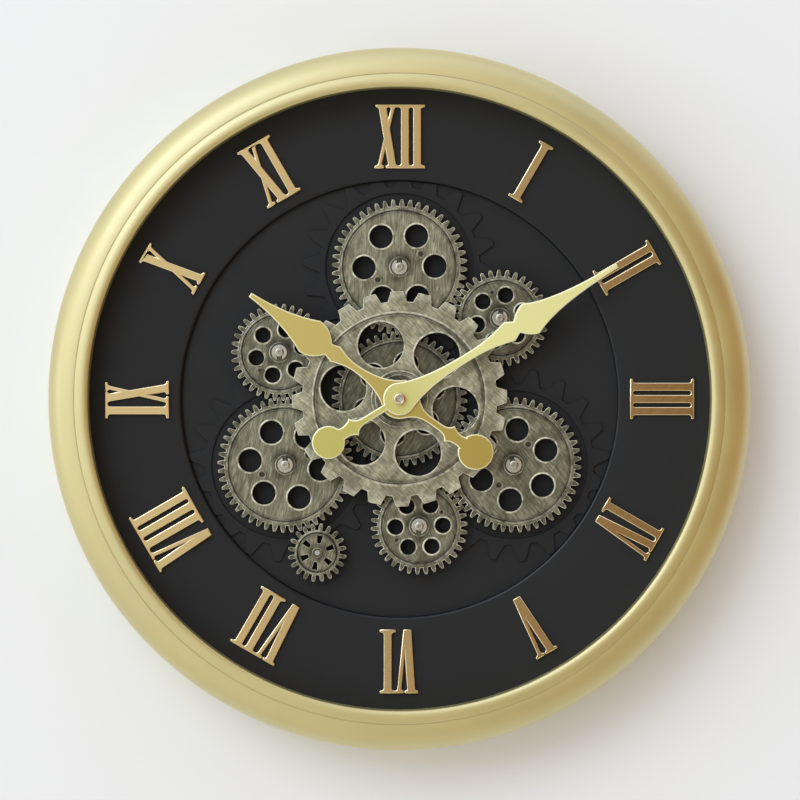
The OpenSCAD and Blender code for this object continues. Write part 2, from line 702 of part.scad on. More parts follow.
// Numerals: strokes given as [place at the top, place at the foot, width, overhang, foot has a serif]
function thick(p, over, foot) = [p[0], p[1], stem_w, over, foot];
function thin(p, over, foot) = [p[0], p[1], hair_w, over, foot];
function strokes(c) = c == "I" ? [thick([0, 0], serif_over, true)]
    : c == "V" ? [thick(v_thick, slant_over, false), thin(v_hair, slant_over, false)]
    : [thick(x_thick, slant_over, true), thin(x_hair, slant_over, true)];
function lead(c) = c == "I" ? 0 : c == "V" ? -v_thick[0] : -x_thick[0];
function trail(c) = c == "I" ? 0 : c == "V" ? v_hair[0] - (stem_w - hair_w) / 4 : x_thick[1];
// Place of letter i in its word, and the middle of the word's outer strokes
function letter_x(word, i) = i == 0 ? 0
    : letter_x(word, i - 1) + trail(word[i - 1]) + stem_pitch + lead(word[i]);
function word_mid(word) = let (last = len(word) - 1)
    (letter_x(word, last) + trail(word[last]) - lead(word[0])) / 2;

// One side of a stroke, from its foot to its top, with a bracket that curves into each serif
function serif(x, edge, y, dir) = let (y_bar = y + dir * serif_t)
    concat([[x, y]], bend([x, y_bar], [edge, y_bar], [edge, y_bar + dir * serif_bracket], bracket_steps));
function reversed(p) = [for (i = [len(p) - 1:-1:0]) p[i]];
function stroke_side(s, side) =
    let (lean = (s[0] - s[1]) / numeral_h, edge = side * s[2] / 2, tip = edge + side * s[3])
    let (foot = s[4] ? serif(tip, edge, 0, 1) : [[edge, 0]])
    [for (p = concat(foot, reversed(serif(tip, edge, numeral_h, -1)))) [p[0] + s[1] + lean * p[1], p[1]]];

module stroke(s) polygon(concat(stroke_side(s, 1), reversed(stroke_side(s, -1))));

module numeral(hour) color(gold) place() rotate(-30 * hour) {
    word = NUMERALS[hour - 1];
    translate([-word_mid(word), numeral_in_r, z_dial]) linear_extrude(numeral_t)
        for (i = [0:len(word) - 1]) translate([letter_x(word, i), 0])
            for (s = strokes(word[i])) stroke(s);
}

// Fixings of the dial, the wall bumpers and the hanger
module dial_clips() color(steel) place() {
    clip_in_r = dial_r - dial_clip_lap;
    around(clip_dirs, 0) difference() {
        plate([clip_in_r, -dial_clip_w / 2], [boss_at + boss_r, dial_clip_w / 2], plate_corner,
            z_panel - dial_clip_t, z_panel);
        at([boss_at, 0]) disc(screw_r + screw_fit, z_panel - dial_clip_t - 1, z_panel + 1);
    }
}

module dial_clip_screws() color(steel) place()
    around(clip_dirs, boss_at) screw(z_panel - dial_clip_t, boss_screw_len);

module wall_bumpers() color(rubber_black) place()
    around(bumper_dirs, boss_at) disc(bumper_r, 0, z_rim);

module hanger_plate() color(steel) place() difference() {
    z0 = z_rim - 1;
    z1 = z_rim + hanger_t + 1;
    plate([-hanger_w / 2, hanger_y[0]], [hanger_w / 2, hanger_y[1]], plate_corner, z_rim, z_rim + hanger_t);
    at([0, key_y]) disc(key_r, z0, z1);
    at([0, key_y + key_rise]) disc(key_slot_r, z0, z1);
    translate([-key_slot_r, key_y, z0]) cube([2 * key_slot_r, key_rise, z1 - z0]);
    for (s = [-1, 1]) at([s * hanger_span / 2, hanger_screw_y]) disc(screw_r + screw_fit, z0, z1);
}

module hanger_screws() color(steel) place()
    for (s = [-1, 1]) at([s * hanger_span / 2, hanger_screw_y]) screw(z_rim, boss_screw_len);

// Posts: a flange on the dial, a journal for the gear, a groove for the clip, a nut behind
module gear_posts() color(steel) place() for (p = post_pos) at(p) {
    z_end = z_clip + clip_t + post_end;
    difference() {
        union() {
            disc(post_shank_r, z_panel - rear_nut_t - thread_past, z_floor);
            disc(post_flange_r, z_floor, z_gear - end_play);
            disc(post_r, z_gear - end_play, z_clip);
            disc(post_r - clip_groove, z_clip, z_clip + clip_t);
            disc(post_r, z_clip + clip_t, z_end);
        }
        translate([0, 0, z_end - post_dimple_r / 2])
            cylinder(r1 = 0, r2 = post_dimple_r, h = post_dimple_r / 2);
    }
}

module retaining_clip() difference() {
    disc(clip_r, z_clip, z_clip + clip_t);
    disc(post_r - clip_groove, z_clip - 1, z_clip + clip_t + 1);
    translate([-clip_mouth / 2, 0, z_clip - 1]) cube([clip_mouth, clip_r + 1, clip_t + 2]);
    for (a = [-30, 210]) rotate(a) at([post_r - clip_groove, 0])
        disc(clip_groove, z_clip - 1, z_clip + clip_t + 1);
}

module post_clips() color(steel) place()
    for (i = [0:len(post_pos) - 1]) at(post_pos[i]) rotate(-clip_turn[i]) retaining_clip();

module post_nuts() color(steel) place() for (p = post_pos) at(p)
    hex_nut(rear_nut_af, post_shank_r, z_panel - rear_nut_t, z_panel);

// Gears: involute teeth, a groove with a raised bead inside the rim, six windows and two dimples with
// raised lips, a boss
module face_groove(r, z) translate([0, 0, z - face_groove_depth])
    tube(r + face_groove_w / 2, r - face_groove_w / 2, 0, face_groove_depth + 1);

module face_bead(r, thick) tube(r + face_groove_w / 2 + lip_w, r, thick / 2, thick + lip_h);

window_dirs = [for (i = [0:5]) i * 60];
dimple_dirs = [-30, 150];

module gear_blank(z, m, phase, thick) linear_extrude(thick) polygon(gear_outline(z, m, phase));

module windowed_gear(z, phase, boss_r, boss_h, bore, window_r, window_at, window_turn, dimple_r, dimple_at)
    difference() {
        union() {
            gear_blank(z, train_m, phase, gear_t);
            face_bead(groove_in_r(z), gear_t);
            rotate(90 - window_turn) {
                around(window_dirs, window_at) disc(window_r + lip_w, gear_t / 2, gear_t + lip_h);
                around(dimple_dirs, dimple_at) disc(dimple_r + lip_w, gear_t / 2, gear_t + lip_h);
            }
            disc(boss_r, gear_t / 2, gear_t + boss_h);
        }
        disc(bore, -1, gear_t + boss_h + 1);
        rotate(90 - window_turn) {
            around(window_dirs, window_at) disc(window_r, -1, gear_t + lip_h + 1);
            around(dimple_dirs, dimple_at) disc(dimple_r, gear_t - face_groove_depth, gear_t + lip_h + 1);
        }
        face_groove(groove_in_r(z), gear_t);
    }

module hub_gear() color(pewter) place() translate([0, 0, z_gear])
    windowed_gear(large_z, hub_phase, hub_boss_r, centre_gap, hub_bore_r,
        large_window_r, large_window_at, hub_window_turn, large_dimple_r, large_dimple_at);

module large_gear(i) color(pewter) place() at(large_pos[i]) translate([0, 0, z_gear])
    windowed_gear(large_z, large_phase[i], gear_boss_r, gear_boss_h, gear_bore_r,
        large_window_r, large_window_at, large_window_turn[i], large_dimple_r, large_dimple_at);

module medium_gear(i) color(pewter) place() at(medium_pos[i]) translate([0, 0, z_gear])
    windowed_gear(medium_z, medium_phase[i], gear_boss_r, gear_boss_h, gear_bore_r,
        medium_window_r, medium_window_at, medium_window_turn[i], medium_dimple_r, medium_dimple_at);

module drive_pinion() color(pewter) place() at(pinion_pos) translate([0, 0, z_gear]) difference() {
    union() {
        gear_blank(pinion_z, train_m, pinion_phase, gear_t);
        face_bead(pinion_groove_r, gear_t);
        disc(pinion_boss_r, gear_t / 2, gear_t + gear_boss_h);
    }
    disc(drive_shaft_r, -1, gear_t + gear_boss_h + 1);
    face_groove(pinion_groove_r, gear_t);
    rotate(90 - slot_turn) around(window_dirs, slot_in) translate([0, 0, -1]) linear_extrude(gear_t + 2)
        polygon(mirrored([[0, slot_w[0] / 2], [slot_len, slot_w[1] / 2]]));
}

// Coarse centre gear: trapezoid teeth, in front of the hub gear and fixed to it
function coarse_tooth(at) =
    let (c = cos(at), s = sin(at), half_pitch = PI / centre_z)
    let (root = centre_tooth_share[0] * half_pitch * centre_root_r)
    let (tip = centre_tooth_share[1] * half_pitch * centre_tip_r)
    [for (p = [[centre_root_r, -root], [centre_tip_r, -tip], [centre_tip_r, tip], [centre_root_r, root]])
        [p[0] * c - p[1] * s, p[0] * s + p[1] * c]];

module centre_gear() color(pewter) place() translate([0, 0, z_centre]) difference() {
    union() {
        linear_extrude(centre_t)
            polygon([for (i = [0:centre_z - 1]) each coarse_tooth(90 - centre_turn + i * 360 / centre_z)]);
        face_bead(centre_groove_r, centre_t);
        rotate(90 - centre_window_turn) around(window_dirs, centre_window_at)
            disc(centre_window_r + lip_w, centre_t / 2, centre_t + lip_h);
        disc(centre_boss_r, centre_t / 2, centre_t + centre_boss_h);
    }
    disc(hub_bore_r, -1, centre_t + centre_boss_h + 1);
    rotate(90 - centre_window_turn) around(window_dirs, centre_window_at)
        disc(centre_window_r, -1, centre_t + lip_h + 1);
    face_groove(centre_groove_r, centre_t);
    face_groove(centre_boss_r - 2 * face_groove_w, centre_t + centre_boss_h);
}

// Bush, washer and nut on the hand axis
module centre_bush() color(brass) place() difference() {
    union() {
        disc(bush_flange_r, z_floor, z_gear - end_play);
        disc(bush_r, z_floor, z_bush_top);
    }
    disc(bush_in_r, z_floor - 1, z_bush_top + 1);
}

module stem_washer() color(brass) place() tube(washer_r, stem_r, z_bush_top, z_washer_top);

module stem_nut() color(brass) place() hex_nut(stem_nut_af, stem_r, z_washer_top, z_stem_nut_top);

module stem() color(brass) place() tube(stem_r, stem_in_r, z_move_in, z_stem_top);

// Cases: a box behind the back panel, with a chamber and open pockets for cells
module case_box(w, y0, y1, z0) plate([-w / 2, y0], [w / 2, y1], case_corner, z0, z_panel);
module cell_pocket(y, z0) translate([-pocket_len / 2, y - pocket_h / 2, z0 - 1])
    cube([pocket_len, pocket_h, z_panel - case_wall - z0 + 1]);

module movement_case() color(plastic_grey) place() difference() {
    case_box(move_w, -move_down, move_up, z_move_back);
    translate([-move_w / 2 + case_wall, -chamber_down, z_move_back - 1])
        cube([move_w - 2 * case_wall, chamber_down + move_up - case_wall, move_depth - case_wall + 1]);
    cell_pocket(move_cell_y, z_move_back);
    disc(stem_r, z_move_in - 1, z_panel + 1);
    at(setting_pos) disc(pivot_r + run_fit, z_move_in - 1, z_move_in + pivot_len);
}

module movement_cover() color(plastic_grey) place() difference() {
    inset = case_wall + cover_fit;
    union() {
        translate([-move_w / 2 + inset, -chamber_down + cover_fit, z_move_back])
            cube([move_w - 2 * inset, chamber_down + move_up - inset - cover_fit, cover_t]);
        disc(bearing_r, z_move_back, z_move_cover + bearing_h);
    }
    disc(pivot_r + run_fit, z_move_cover, z_move_cover + bearing_h + 1);
    at(setting_pos) disc(arbor_r + run_fit, z_move_back - 1, z_move_cover + 1);
}

// An AA cell along x, and its two contact plates
module cell(y) translate([-cell_len / 2, y, z_cell]) rotate([0, 90, 0]) {
    cylinder(d = cell_d, h = cell_len - button_len);
    cylinder(r = button_r, h = cell_len);
}
module cell_contacts(y) for (s = [-1, 1]) {
    x = s * pocket_len / 2;
    translate([min(x, x - s * contact_t), y - pocket_h / 3, z_cell - pocket_h / 3])
        cube([contact_t, 2 * pocket_h / 3, z_panel - case_wall - z_cell + pocket_h / 3]);
    translate([x - s * contact_t, y, z_cell]) rotate([0, -s * 90, 0])
        cylinder(r1 = button_r, r2 = button_r / 2, h = contact_dome);
}

module movement_cell() color(copper) place() cell(move_cell_y);

module movement_contacts() color(steel) place() cell_contacts(move_cell_y);

// Circuit board and coil on the movement's front plate, left of the wheels
module circuit_board() color(board_green) place()
    translate([-move_w / 2 + case_wall + cover_fit, -chamber_down + cover_fit, z_move_in - board_t])
        cube([board_w, chamber_down + move_up - case_wall - 2 * cover_fit, board_t]);

module coil() color(copper) place() {
    board_mid = -move_w / 2 + case_wall + cover_fit + board_w / 2;
    translate([board_mid, 0, z_move_in - board_t]) {
        rotate([90, 0, 0]) translate([0, -coil_r, -coil_len / 2]) cylinder(r = coil_r, h = coil_len);
        for (s = [-1, 1]) translate([-coil_r, (s * coil_len - coil_flange_t) / 2, -2 * coil_r])
            cube([2 * coil_r, coil_flange_t, 2 * coil_r]);
    }
}

// Motion work: the minute shaft's cannon pinion, the minute wheel and the hour wheel
module minute_shaft() color(steel) place() {
    translate([0, 0, z_cannon_back]) gear_blank(small_z, cannon_m, 0, wheel_t + 2 * wheel_gap);
    disc(minute_r, z_cannon_back, z_cap_top - cap_sink);
    disc(pivot_r, z_move_cover + wheel_gap, z_cannon_back);
}

module hour_tube() color(brass) place() difference() {
    union() {
        translate([0, 0, z_hour_wheel]) gear_blank(hour_wheel_z, hour_m, hour_wheel_phase, wheel_t);
        disc(hour_r, z_hour_wheel, z_hour_top + hand_gap / 4);
    }
    disc(hour_in_r, z_hour_wheel - 1, z_hour_top + 1);
}

module minute_wheel() color(brass) place() at(setting_pos) {
    translate([0, 0, z_minute_wheel]) gear_blank(minute_wheel_z, cannon_m, minute_wheel_phase, wheel_t);
    translate([0, 0, z_minute_wheel]) gear_blank(small_z, hour_m, 0, z_move_in - wheel_gap - z_minute_wheel);
    disc(pivot_r, z_minute_wheel, z_move_in + pivot_len - wheel_gap);
}

module setting_knob() color(plastic_grey) place() at(setting_pos) {
    disc(arbor_r, z_knob_top, z_minute_wheel);
    translate([0, 0, z_knob_top - knob_h]) linear_extrude(knob_h)
        polygon([for (i = [0:2 * knob_flutes - 1])
            polar(knob_r - (i % 2) * flute_depth, i * 180 / knob_flutes)]);
}

// Hands: half outlines from the tip to the tail, a leaf, a collar, a boss and a round tail
function minute_half() = concat(
    curve(minute_leaf), curve(minute_stem), arc([0, 0], minute_boss_r, minute_boss_r, 80, 168),
    curve(minute_arm), arc(minute_tail, minute_tail_r, minute_tail_r, 22, 180));

function hour_half() = concat(
    curve(hour_leaf), curve(hour_stem), arc([0, 0], hour_boss_r, hour_boss_r, 78, hour_fillet_from - 4),
    curve(hour_fillet), curve(hour_arm), arc(hour_tail, hour_tail_r, hour_tail_r, 24, 180));

module hand(half, turn, z, bore) translate([0, 0, z]) rotate(90 - turn) difference() {
    linear_extrude(hand_t) polygon(mirrored(half));
    disc(bore, -1, hand_t + 1);
}

module hour_hand() color(gold) place() hand(hour_half(), hour_turn, z_hour, hour_r);

module minute_hand() color(pale_gold) place() hand(minute_half(), minute_turn, z_minute, minute_r);

// A round nut on the end of the minute shaft, countersunk so that the shaft's end shows
module hand_nut() color(brass) place() rotate_extrude() polygon(concat(
    [[minute_r, z_minute_top], [cap_r, z_minute_top]],
    arc([cap_r - cap_round, z_cap_top - cap_round], cap_round, cap_round, 0, 90),
    [[cap_sink_r, z_cap_top], [minute_r, z_cap_top - cap_sink]]));

// Gear drive: a motor, its shaft and two cells in a case behind the pinion
module drive_ears() for (sx = [-1, 1], sy = [0, 1])
    translate([0, sy * (drive_up + drive_down - 2 * case_corner - ear_w) - drive_down + case_corner, 0])
        mirror([sx < 0 ? 1 : 0, 0, 0]) children();
module drive_screw_places() drive_ears() translate([(drive_w + ear_w) / 2, ear_w / 2, 0]) children();

module drive_case() color(plastic_grey) place() at(pinion_pos) difference() {
    chamber_h = motor_r + cell_fit;
    union() {
        case_box(drive_w, -drive_down, drive_up, z_drive_back);
        drive_ears() translate([drive_w / 2 - case_wall, 0, z_panel - ear_t])
            cube([case_wall + ear_w, ear_w, ear_t]);
    }
    translate([-drive_w / 2 + case_wall, -chamber_h, z_drive_back - 1])
        cube([drive_w - 2 * case_wall, chamber_h + drive_up - case_wall, drive_depth - case_wall + 1]);
    for (y = drive_cell_y) cell_pocket(y, z_drive_back);
    disc(motor_nose_r + motor_nose_fit, z_drive_back, z_panel + 1);
    drive_screw_places() disc(screw_r + screw_fit, z_panel - ear_t - 1, z_panel + 1);
}

module drive_cover() color(plastic_grey) place() at(pinion_pos) {
    inset = case_wall + cover_fit;
    translate([-drive_w / 2 + inset, -motor_r - cell_fit + cover_fit, z_drive_back])
        cube([drive_w - 2 * inset, motor_r + cell_fit + drive_up - inset - cover_fit, cover_t]);
}

module drive_motor() color(steel) place() at(pinion_pos) difference() {
    union() {
        disc(motor_r, z_motor_front - motor_depth, z_motor_front);
        disc(motor_nose_r, z_motor_front, z_nose_top);
    }
    disc(drive_shaft_r + run_fit, z_motor_front - drive_shaft_in, z_nose_top + 1);
}

module drive_shaft() color(steel) place() at(pinion_pos)
    disc(drive_shaft_r, z_motor_front - drive_shaft_in + wheel_gap, z_gear_boss + drive_shaft_past);

module drive_cells() color(copper) place() at(pinion_pos) for (y = drive_cell_y) cell(y);

module drive_contacts() color(steel) place() at(pinion_pos) for (y = drive_cell_y) cell_contacts(y);

module drive_screws() color(steel) place() at(pinion_pos)
    drive_screw_places() screw(z_panel - ear_t, ear_t + panel_screw_len);

outer_frame();
chapter_ring();
back_panel();
for (i = [1:12]) numeral(i);
dial_clips();
dial_clip_screws();
wall_bumpers();
hanger_plate();
hanger_screws();
gear_posts();
post_clips();
post_nuts();
hub_gear();
centre_gear();
large_gear(0);  // large_gear_top
large_gear(1);  // large_gear_left
large_gear(2);  // large_gear_right
medium_gear(0);  // medium_gear_top
medium_gear(1);  // medium_gear_left
medium_gear(2);  // medium_gear_bottom
drive_pinion();
drive_shaft();
drive_case();
drive_cover();
drive_motor();
drive_cells();
drive_contacts();
drive_screws();
centre_bush();
stem_washer();
stem_nut();
stem();
movement_case();
movement_cover();
movement_cell();
movement_contacts();
circuit_board();
coil();
minute_shaft();
hour_tube();
minute_wheel();
setting_knob();
hour_hand();
minute_hand();
hand_nut();
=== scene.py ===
# %% [markdown]
# # A gear wall clock
# A moulded gold ring holds a black dial with Roman numerals, and an open train of pewter gears turns on
# the dial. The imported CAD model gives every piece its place, so this lesson only dresses it: smoother
# turnings, softened edges, a shallow relief on the dial, and a finish for each material.

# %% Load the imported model
import json
import math

import bmesh
import bpy
from mathutils import Matrix, Vector


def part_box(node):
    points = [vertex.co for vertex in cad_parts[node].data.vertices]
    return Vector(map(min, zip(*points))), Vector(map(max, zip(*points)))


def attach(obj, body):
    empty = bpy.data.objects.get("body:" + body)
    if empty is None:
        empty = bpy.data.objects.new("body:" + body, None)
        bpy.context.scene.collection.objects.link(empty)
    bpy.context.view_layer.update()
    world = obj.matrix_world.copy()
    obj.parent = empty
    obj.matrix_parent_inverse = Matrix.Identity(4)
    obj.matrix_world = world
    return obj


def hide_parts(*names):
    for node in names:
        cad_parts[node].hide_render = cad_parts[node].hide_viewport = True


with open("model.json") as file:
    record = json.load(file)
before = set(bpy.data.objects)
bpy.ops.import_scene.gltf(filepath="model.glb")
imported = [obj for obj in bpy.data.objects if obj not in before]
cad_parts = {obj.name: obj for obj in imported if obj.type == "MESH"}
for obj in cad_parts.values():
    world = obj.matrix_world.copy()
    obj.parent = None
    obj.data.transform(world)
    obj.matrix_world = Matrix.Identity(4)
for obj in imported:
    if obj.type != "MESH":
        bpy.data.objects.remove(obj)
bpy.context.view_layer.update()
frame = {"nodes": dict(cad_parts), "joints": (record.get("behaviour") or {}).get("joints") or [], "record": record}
nodes = frame["nodes"]
MM = 0.001
members_of = frame["record"]["behaviour"]["bodies"]
body_of = {node: body for body, members in members_of.items() for node in members}
axis_of = {joint["child"]: Vector(joint["pos_m"]) for joint in frame["joints"]}
clock_axis = axis_of["minute"]
wall_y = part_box("wall_bumpers")[1].y

# %% [markdown]
# ## Camera
# The photograph looks straight at the dial from a distance. A short lens close by would show the inside of
# the ring, so a long lens is used. The whole picture is 523 mm wide at the level of the dial, and its
# middle lies a hair beside the clock's axis.

# %% Camera
PICTURE_WIDTH = 0.5234
DISTANCE = 2.4
SENSOR = 36.0
DIAL_LEVEL = 45 * MM
ASIDE, BELOW = 0.0003, 0.0007

lens = bpy.data.cameras.new("photo_lens")
lens.sensor_width = SENSOR
lens.lens = SENSOR * DISTANCE / PICTURE_WIDTH
camera = bpy.data.objects.new("photo_camera", lens)
camera.location = (ASIDE, wall_y - DIAL_LEVEL - DISTANCE, clock_axis.z - BELOW)
camera.rotation_euler = (math.radians(90), 0, 0)
bpy.context.scene.collection.objects.link(camera)
bpy.context.scene.camera = camera
print("lens", round(lens.lens, 1), "mm")

# %% [markdown]
# ## Helpers
# A few short functions are used all through the lesson. One turns a bmesh into an object, and the others
# add shader nodes. They set or link a node's inputs in one go, because a long row of links is hard to read.


# %% Objects and shader nodes
def finish_mesh(name, bm, material):
    """Makes an object from a bmesh, at the origin."""
    mesh = bpy.data.meshes.new(name)
    bm.to_mesh(mesh)
    bm.free()
    mesh.materials.append(material)
    piece = bpy.data.objects.new(name, mesh)
    bpy.context.scene.collection.objects.link(piece)
    return piece


def set_inputs(tree, node, values):
    """Sets or links some inputs of a shader node."""
    for key, value in values.items():
        if isinstance(value, bpy.types.NodeSocket):
            tree.links.new(value, node.inputs[key])
        else:
            node.inputs[key].default_value = value


def put(tree, kind, values, **settings):
    """Adds a shader node, with its properties and its inputs."""
    node = tree.nodes.new(kind)
    for key, value in settings.items():
        setattr(node, key, value)
    set_inputs(tree, node, values)
    return node


def new_finish(name):
    """A material, its node tree and its Principled shader."""
    material = bpy.data.materials.new(name)
    material.use_nodes = True
    return material, material.node_tree, material.node_tree.nodes["Principled BSDF"]


# %% Values and colours from shader nodes
def between(tree, amount, low, high):
    """A value or colour mixed from low to high, on the Mix node's sockets for that kind of data."""
    is_value = isinstance(high, (int, float))
    kind, first, second, result = ("FLOAT", 2, 3, 0) if is_value else ("RGBA", 6, 7, 2)
    low, high = ((*end, 1) if isinstance(end, tuple) else end for end in (low, high))
    return put(tree, "ShaderNodeMix", {0: amount, first: low, second: high}, data_type=kind).outputs[result]


def ranged(tree, value, start, end, low=0.0, high=1.0, kind="LINEAR"):
    """A value brought from one range to another."""
    limits = {"From Min": start, "From Max": end, "To Min": low, "To Max": high}
    return put(tree, "ShaderNodeMapRange", {"Value": value, **limits}, interpolation_type=kind).outputs[0]


def fade(tree, value, start, end, amount):
    """A mask of some amount where a value is at its start, which fades to nothing at its end."""
    return ranged(tree, value, start, end, amount, 0.0, "SMOOTHSTEP")


def maths(tree, kind, first, second=0.0):
    """The result of a sum, a product or another operation on two values."""
    return put(tree, "ShaderNodeMath", {0: first, 1: second}, operation=kind).outputs[0]


def noise(tree, vector, scale, detail, roughness=0.5):
    """Cloudy noise."""
    values = {"Vector": vector, "Scale": scale, "Detail": detail, "Roughness": roughness}
    return put(tree, "ShaderNodeTexNoise", values).outputs[0]


# %% [markdown]
# ## World
# The world fills the shadows and gives the gold something to mirror. A plain white world would make every
# numeral equally pale, so a colour ramp makes it white on the window's side and dim and warm on the far
# side, over a beige floor and under a cool white ceiling. The step between the two sides lies straight in
# front: the polished numerals on the left mirror the window and those on the right mirror the warm side.
# Matt surfaces get the same light with less of its colour, so the wall stays neutral.

# %% World
bpy.context.scene.view_settings.view_transform = "Standard"
WINDOW_SIDE = (-0.98, 0.0, 0.2)
WARM_SIDE, WARM_EDGE = (0.53, 0.24, 0.055), (0.235, 0.118, 0.046)
PALE_EDGE, PALE_SIDE = (0.97, 0.97, 0.97), (1.03, 1.03, 1.04)
ROOM_STOPS = ((0.0, WARM_SIDE), (0.466, WARM_EDGE), (0.528, PALE_EDGE), (1.0, PALE_SIDE))
FLOOR_COLOUR, FLOOR_STARTS, FLOOR_FULL = (0.76, 0.74, 0.64), -0.12, -0.80
CEILING_COLOUR, CEILING_STARTS, CEILING_FULL = (1.10, 1.20, 1.38), 0.42, 0.95
MATT_COLOUR, MATT_LEVEL = 0.65, 1.06

world = bpy.data.worlds.new("studio")
world.use_nodes = True
tree = world.node_tree
looking = put(tree, "ShaderNodeTexCoord", {}).outputs["Generated"]
facing = put(tree, "ShaderNodeVectorMath", {0: looking, 1: WINDOW_SIDE}, operation="DOT_PRODUCT")
across = ranged(tree, facing.outputs["Value"], -1.0, 1.0)
room = put(tree, "ShaderNodeValToRGB", {"Fac": across})
stops = room.color_ramp.elements
for place, colour in ROOM_STOPS[1:-1]:
    stops.new(place)
for stop, (place, colour) in zip(stops, ROOM_STOPS):
    stop.position = place
    stop.color = (*colour, 1)
height = put(tree, "ShaderNodeSeparateXYZ", {0: looking}).outputs["Z"]
to_floor = ranged(tree, height, FLOOR_STARTS, FLOOR_FULL)
to_ceiling = ranged(tree, height, CEILING_STARTS, CEILING_FULL)
on_floor = between(tree, to_floor, room.outputs["Color"], FLOOR_COLOUR)
surroundings = between(tree, to_ceiling, on_floor, CEILING_COLOUR)
matt_ray = put(tree, "ShaderNodeLightPath", {}).outputs["Is Diffuse Ray"]
toning = {"Color": surroundings, "Saturation": ranged(tree, matt_ray, 0.0, 1.0, 1.0, MATT_COLOUR),
          "Value": ranged(tree, matt_ray, 0.0, 1.0, 1.0, MATT_LEVEL)}
toned = put(tree, "ShaderNodeHueSaturation", toning)
set_inputs(tree, tree.nodes["Background"], {"Color": toned.outputs[0]})
bpy.context.scene.world = world
print("world with", len(stops), "stops")

# %% [markdown]
# ## Lamps
# One large soft lamp stands in front, up and to the left, and throws the soft shadow to the lower right. A
# small one grazes the ring from the left, and one behind the wall lights the back, which no other lamp
# reaches. Point lamps would throw hard shadows, so all three are square area lamps.


# %% Lamps
def soft_lamp(name, offset, size, watts, colour):
    """A square lamp at an offset from the middle of the dial, aimed at it."""
    lamp = bpy.data.lights.new(name, "AREA")
    lamp.size = size
    lamp.energy = watts
    lamp.color = colour
    holder = bpy.data.objects.new(name, lamp)
    holder.location = clock_axis + Vector(offset)
    holder.rotation_euler = (-Vector(offset)).to_track_quat("-Z", "Y").to_euler()
    holder.visible_camera = False
    bpy.context.scene.collection.objects.link(holder)


soft_lamp("window_lamp", (-2.4, -4.2, 2.4), size=2.8, watts=84, colour=(0.82, 0.91, 1.0))
soft_lamp("side_lamp", (-4.2, -1.7, 0.2), size=0.8, watts=9, colour=(1.0, 0.98, 0.95))
soft_lamp("rear_lamp", (0.9, 1.8, 1.2), size=1.2, watts=22, colour=(1.0, 1.0, 1.0))
print("lamps:", [light.name for light in bpy.data.lights])

# %% [markdown]
# ## Wall
# The clock hangs on a pale painted wall, which takes its shadow. A plain plane would hide the back of the
# clock, so the wall is a wide ring with a round hole behind the clock, and it lets the view through from
# its rear.

# %% Wall paint
WALL_COLOUR = (0.868, 0.888, 0.905, 1)
wall_paint, tree, shader = new_finish("wall_paint")
set_inputs(tree, shader, {"Base Color": WALL_COLOUR, "Roughness": 0.9})
see_through = put(tree, "ShaderNodeBsdfTransparent", {}).outputs[0]
from_rear = put(tree, "ShaderNodeNewGeometry", {}).outputs["Backfacing"]
pick = put(tree, "ShaderNodeMixShader", {0: from_rear, 1: shader.outputs[0], 2: see_through})
set_inputs(tree, tree.nodes["Material Output"], {"Surface": pick.outputs[0]})
print(wall_paint.name)

# %% Wall
HOLE_RADIUS, WALL_RADIUS = 0.215, 4.0
FACE_FRONT = Matrix.Rotation(math.radians(90), 4, "X")


def verts_of(geom):
    """The vertices among some parts of a mesh."""
    return [g for g in geom if isinstance(g, bmesh.types.BMVert)]


bm = bmesh.new()
on_wall = Matrix.Translation((clock_axis.x, wall_y, clock_axis.z))
bmesh.ops.create_circle(bm, segments=128, radius=HOLE_RADIUS, cap_ends=False, matrix=on_wall @ FACE_FRONT)
grown = bmesh.ops.extrude_edge_only(bm, edges=bm.edges[:])
bmesh.ops.scale(bm, vec=(WALL_RADIUS / HOLE_RADIUS,) * 3, verts=verts_of(grown["geom"]),
                space=on_wall.inverted())
for face in bm.faces:
    if face.normal.y > 0:
        face.normal_flip()
wall = finish_mesh("wall", bm, wall_paint)
print("wall of", len(wall.data.polygons), "faces")

# %% [markdown]
# ## Shared effects
# Several finishes need the same effects: brushed streaks, a cloudy patina, worn edges that also carry
# painted highlights, and a fine grain.
# Each could be drawn anew in every material, but a node group with named sockets is built once, and the
# materials place it with their own values.


# %% New node groups
def new_group(name, inputs, output):
    """A shader node group with named inputs and one output value."""
    group = bpy.data.node_groups.new(name, "ShaderNodeTree")
    for socket, kind, value in inputs:
        made = group.interface.new_socket(socket, in_out="INPUT", socket_type="NodeSocket" + kind)
        if value is not None:
            made.default_value = value
    group.interface.new_socket(output, in_out="OUTPUT", socket_type="NodeSocketFloat")
    return group, group.nodes.new("NodeGroupInput"), group.nodes.new("NodeGroupOutput")


PLACE = ("Vector", "Vector", None)

# %% Brushed streaks
inputs = [PLACE, ("Across", "Float", 900.0), ("Along", "Float", 30.0)]
streak_group, given, out = new_group("Brushed streaks", inputs, "Streaks")
across, along = given.outputs["Across"], given.outputs["Along"]
stretch = put(streak_group, "ShaderNodeCombineXYZ", {0: across, 1: along, 2: along}).outputs[0]
scaled = put(streak_group, "ShaderNodeVectorMath", {0: given.outputs["Vector"], 1: stretch},
             operation="MULTIPLY")
lines = noise(streak_group, scaled.outputs[0], 1.0, 4.0, 0.65)
set_inputs(streak_group, out, {0: ranged(streak_group, lines, 0.28, 0.72)})
print(streak_group.name)

# %% Cloudy patina
patina_group, given, out = new_group("Cloudy patina", [PLACE, ("Scale", "Float", 120.0)], "Mask")
clouds = noise(patina_group, given.outputs["Vector"], given.outputs["Scale"], 5.0, 0.6)
set_inputs(patina_group, out, {0: ranged(patina_group, clouds, 0.35, 0.65, kind="SMOOTHSTEP")})
print(patina_group.name)
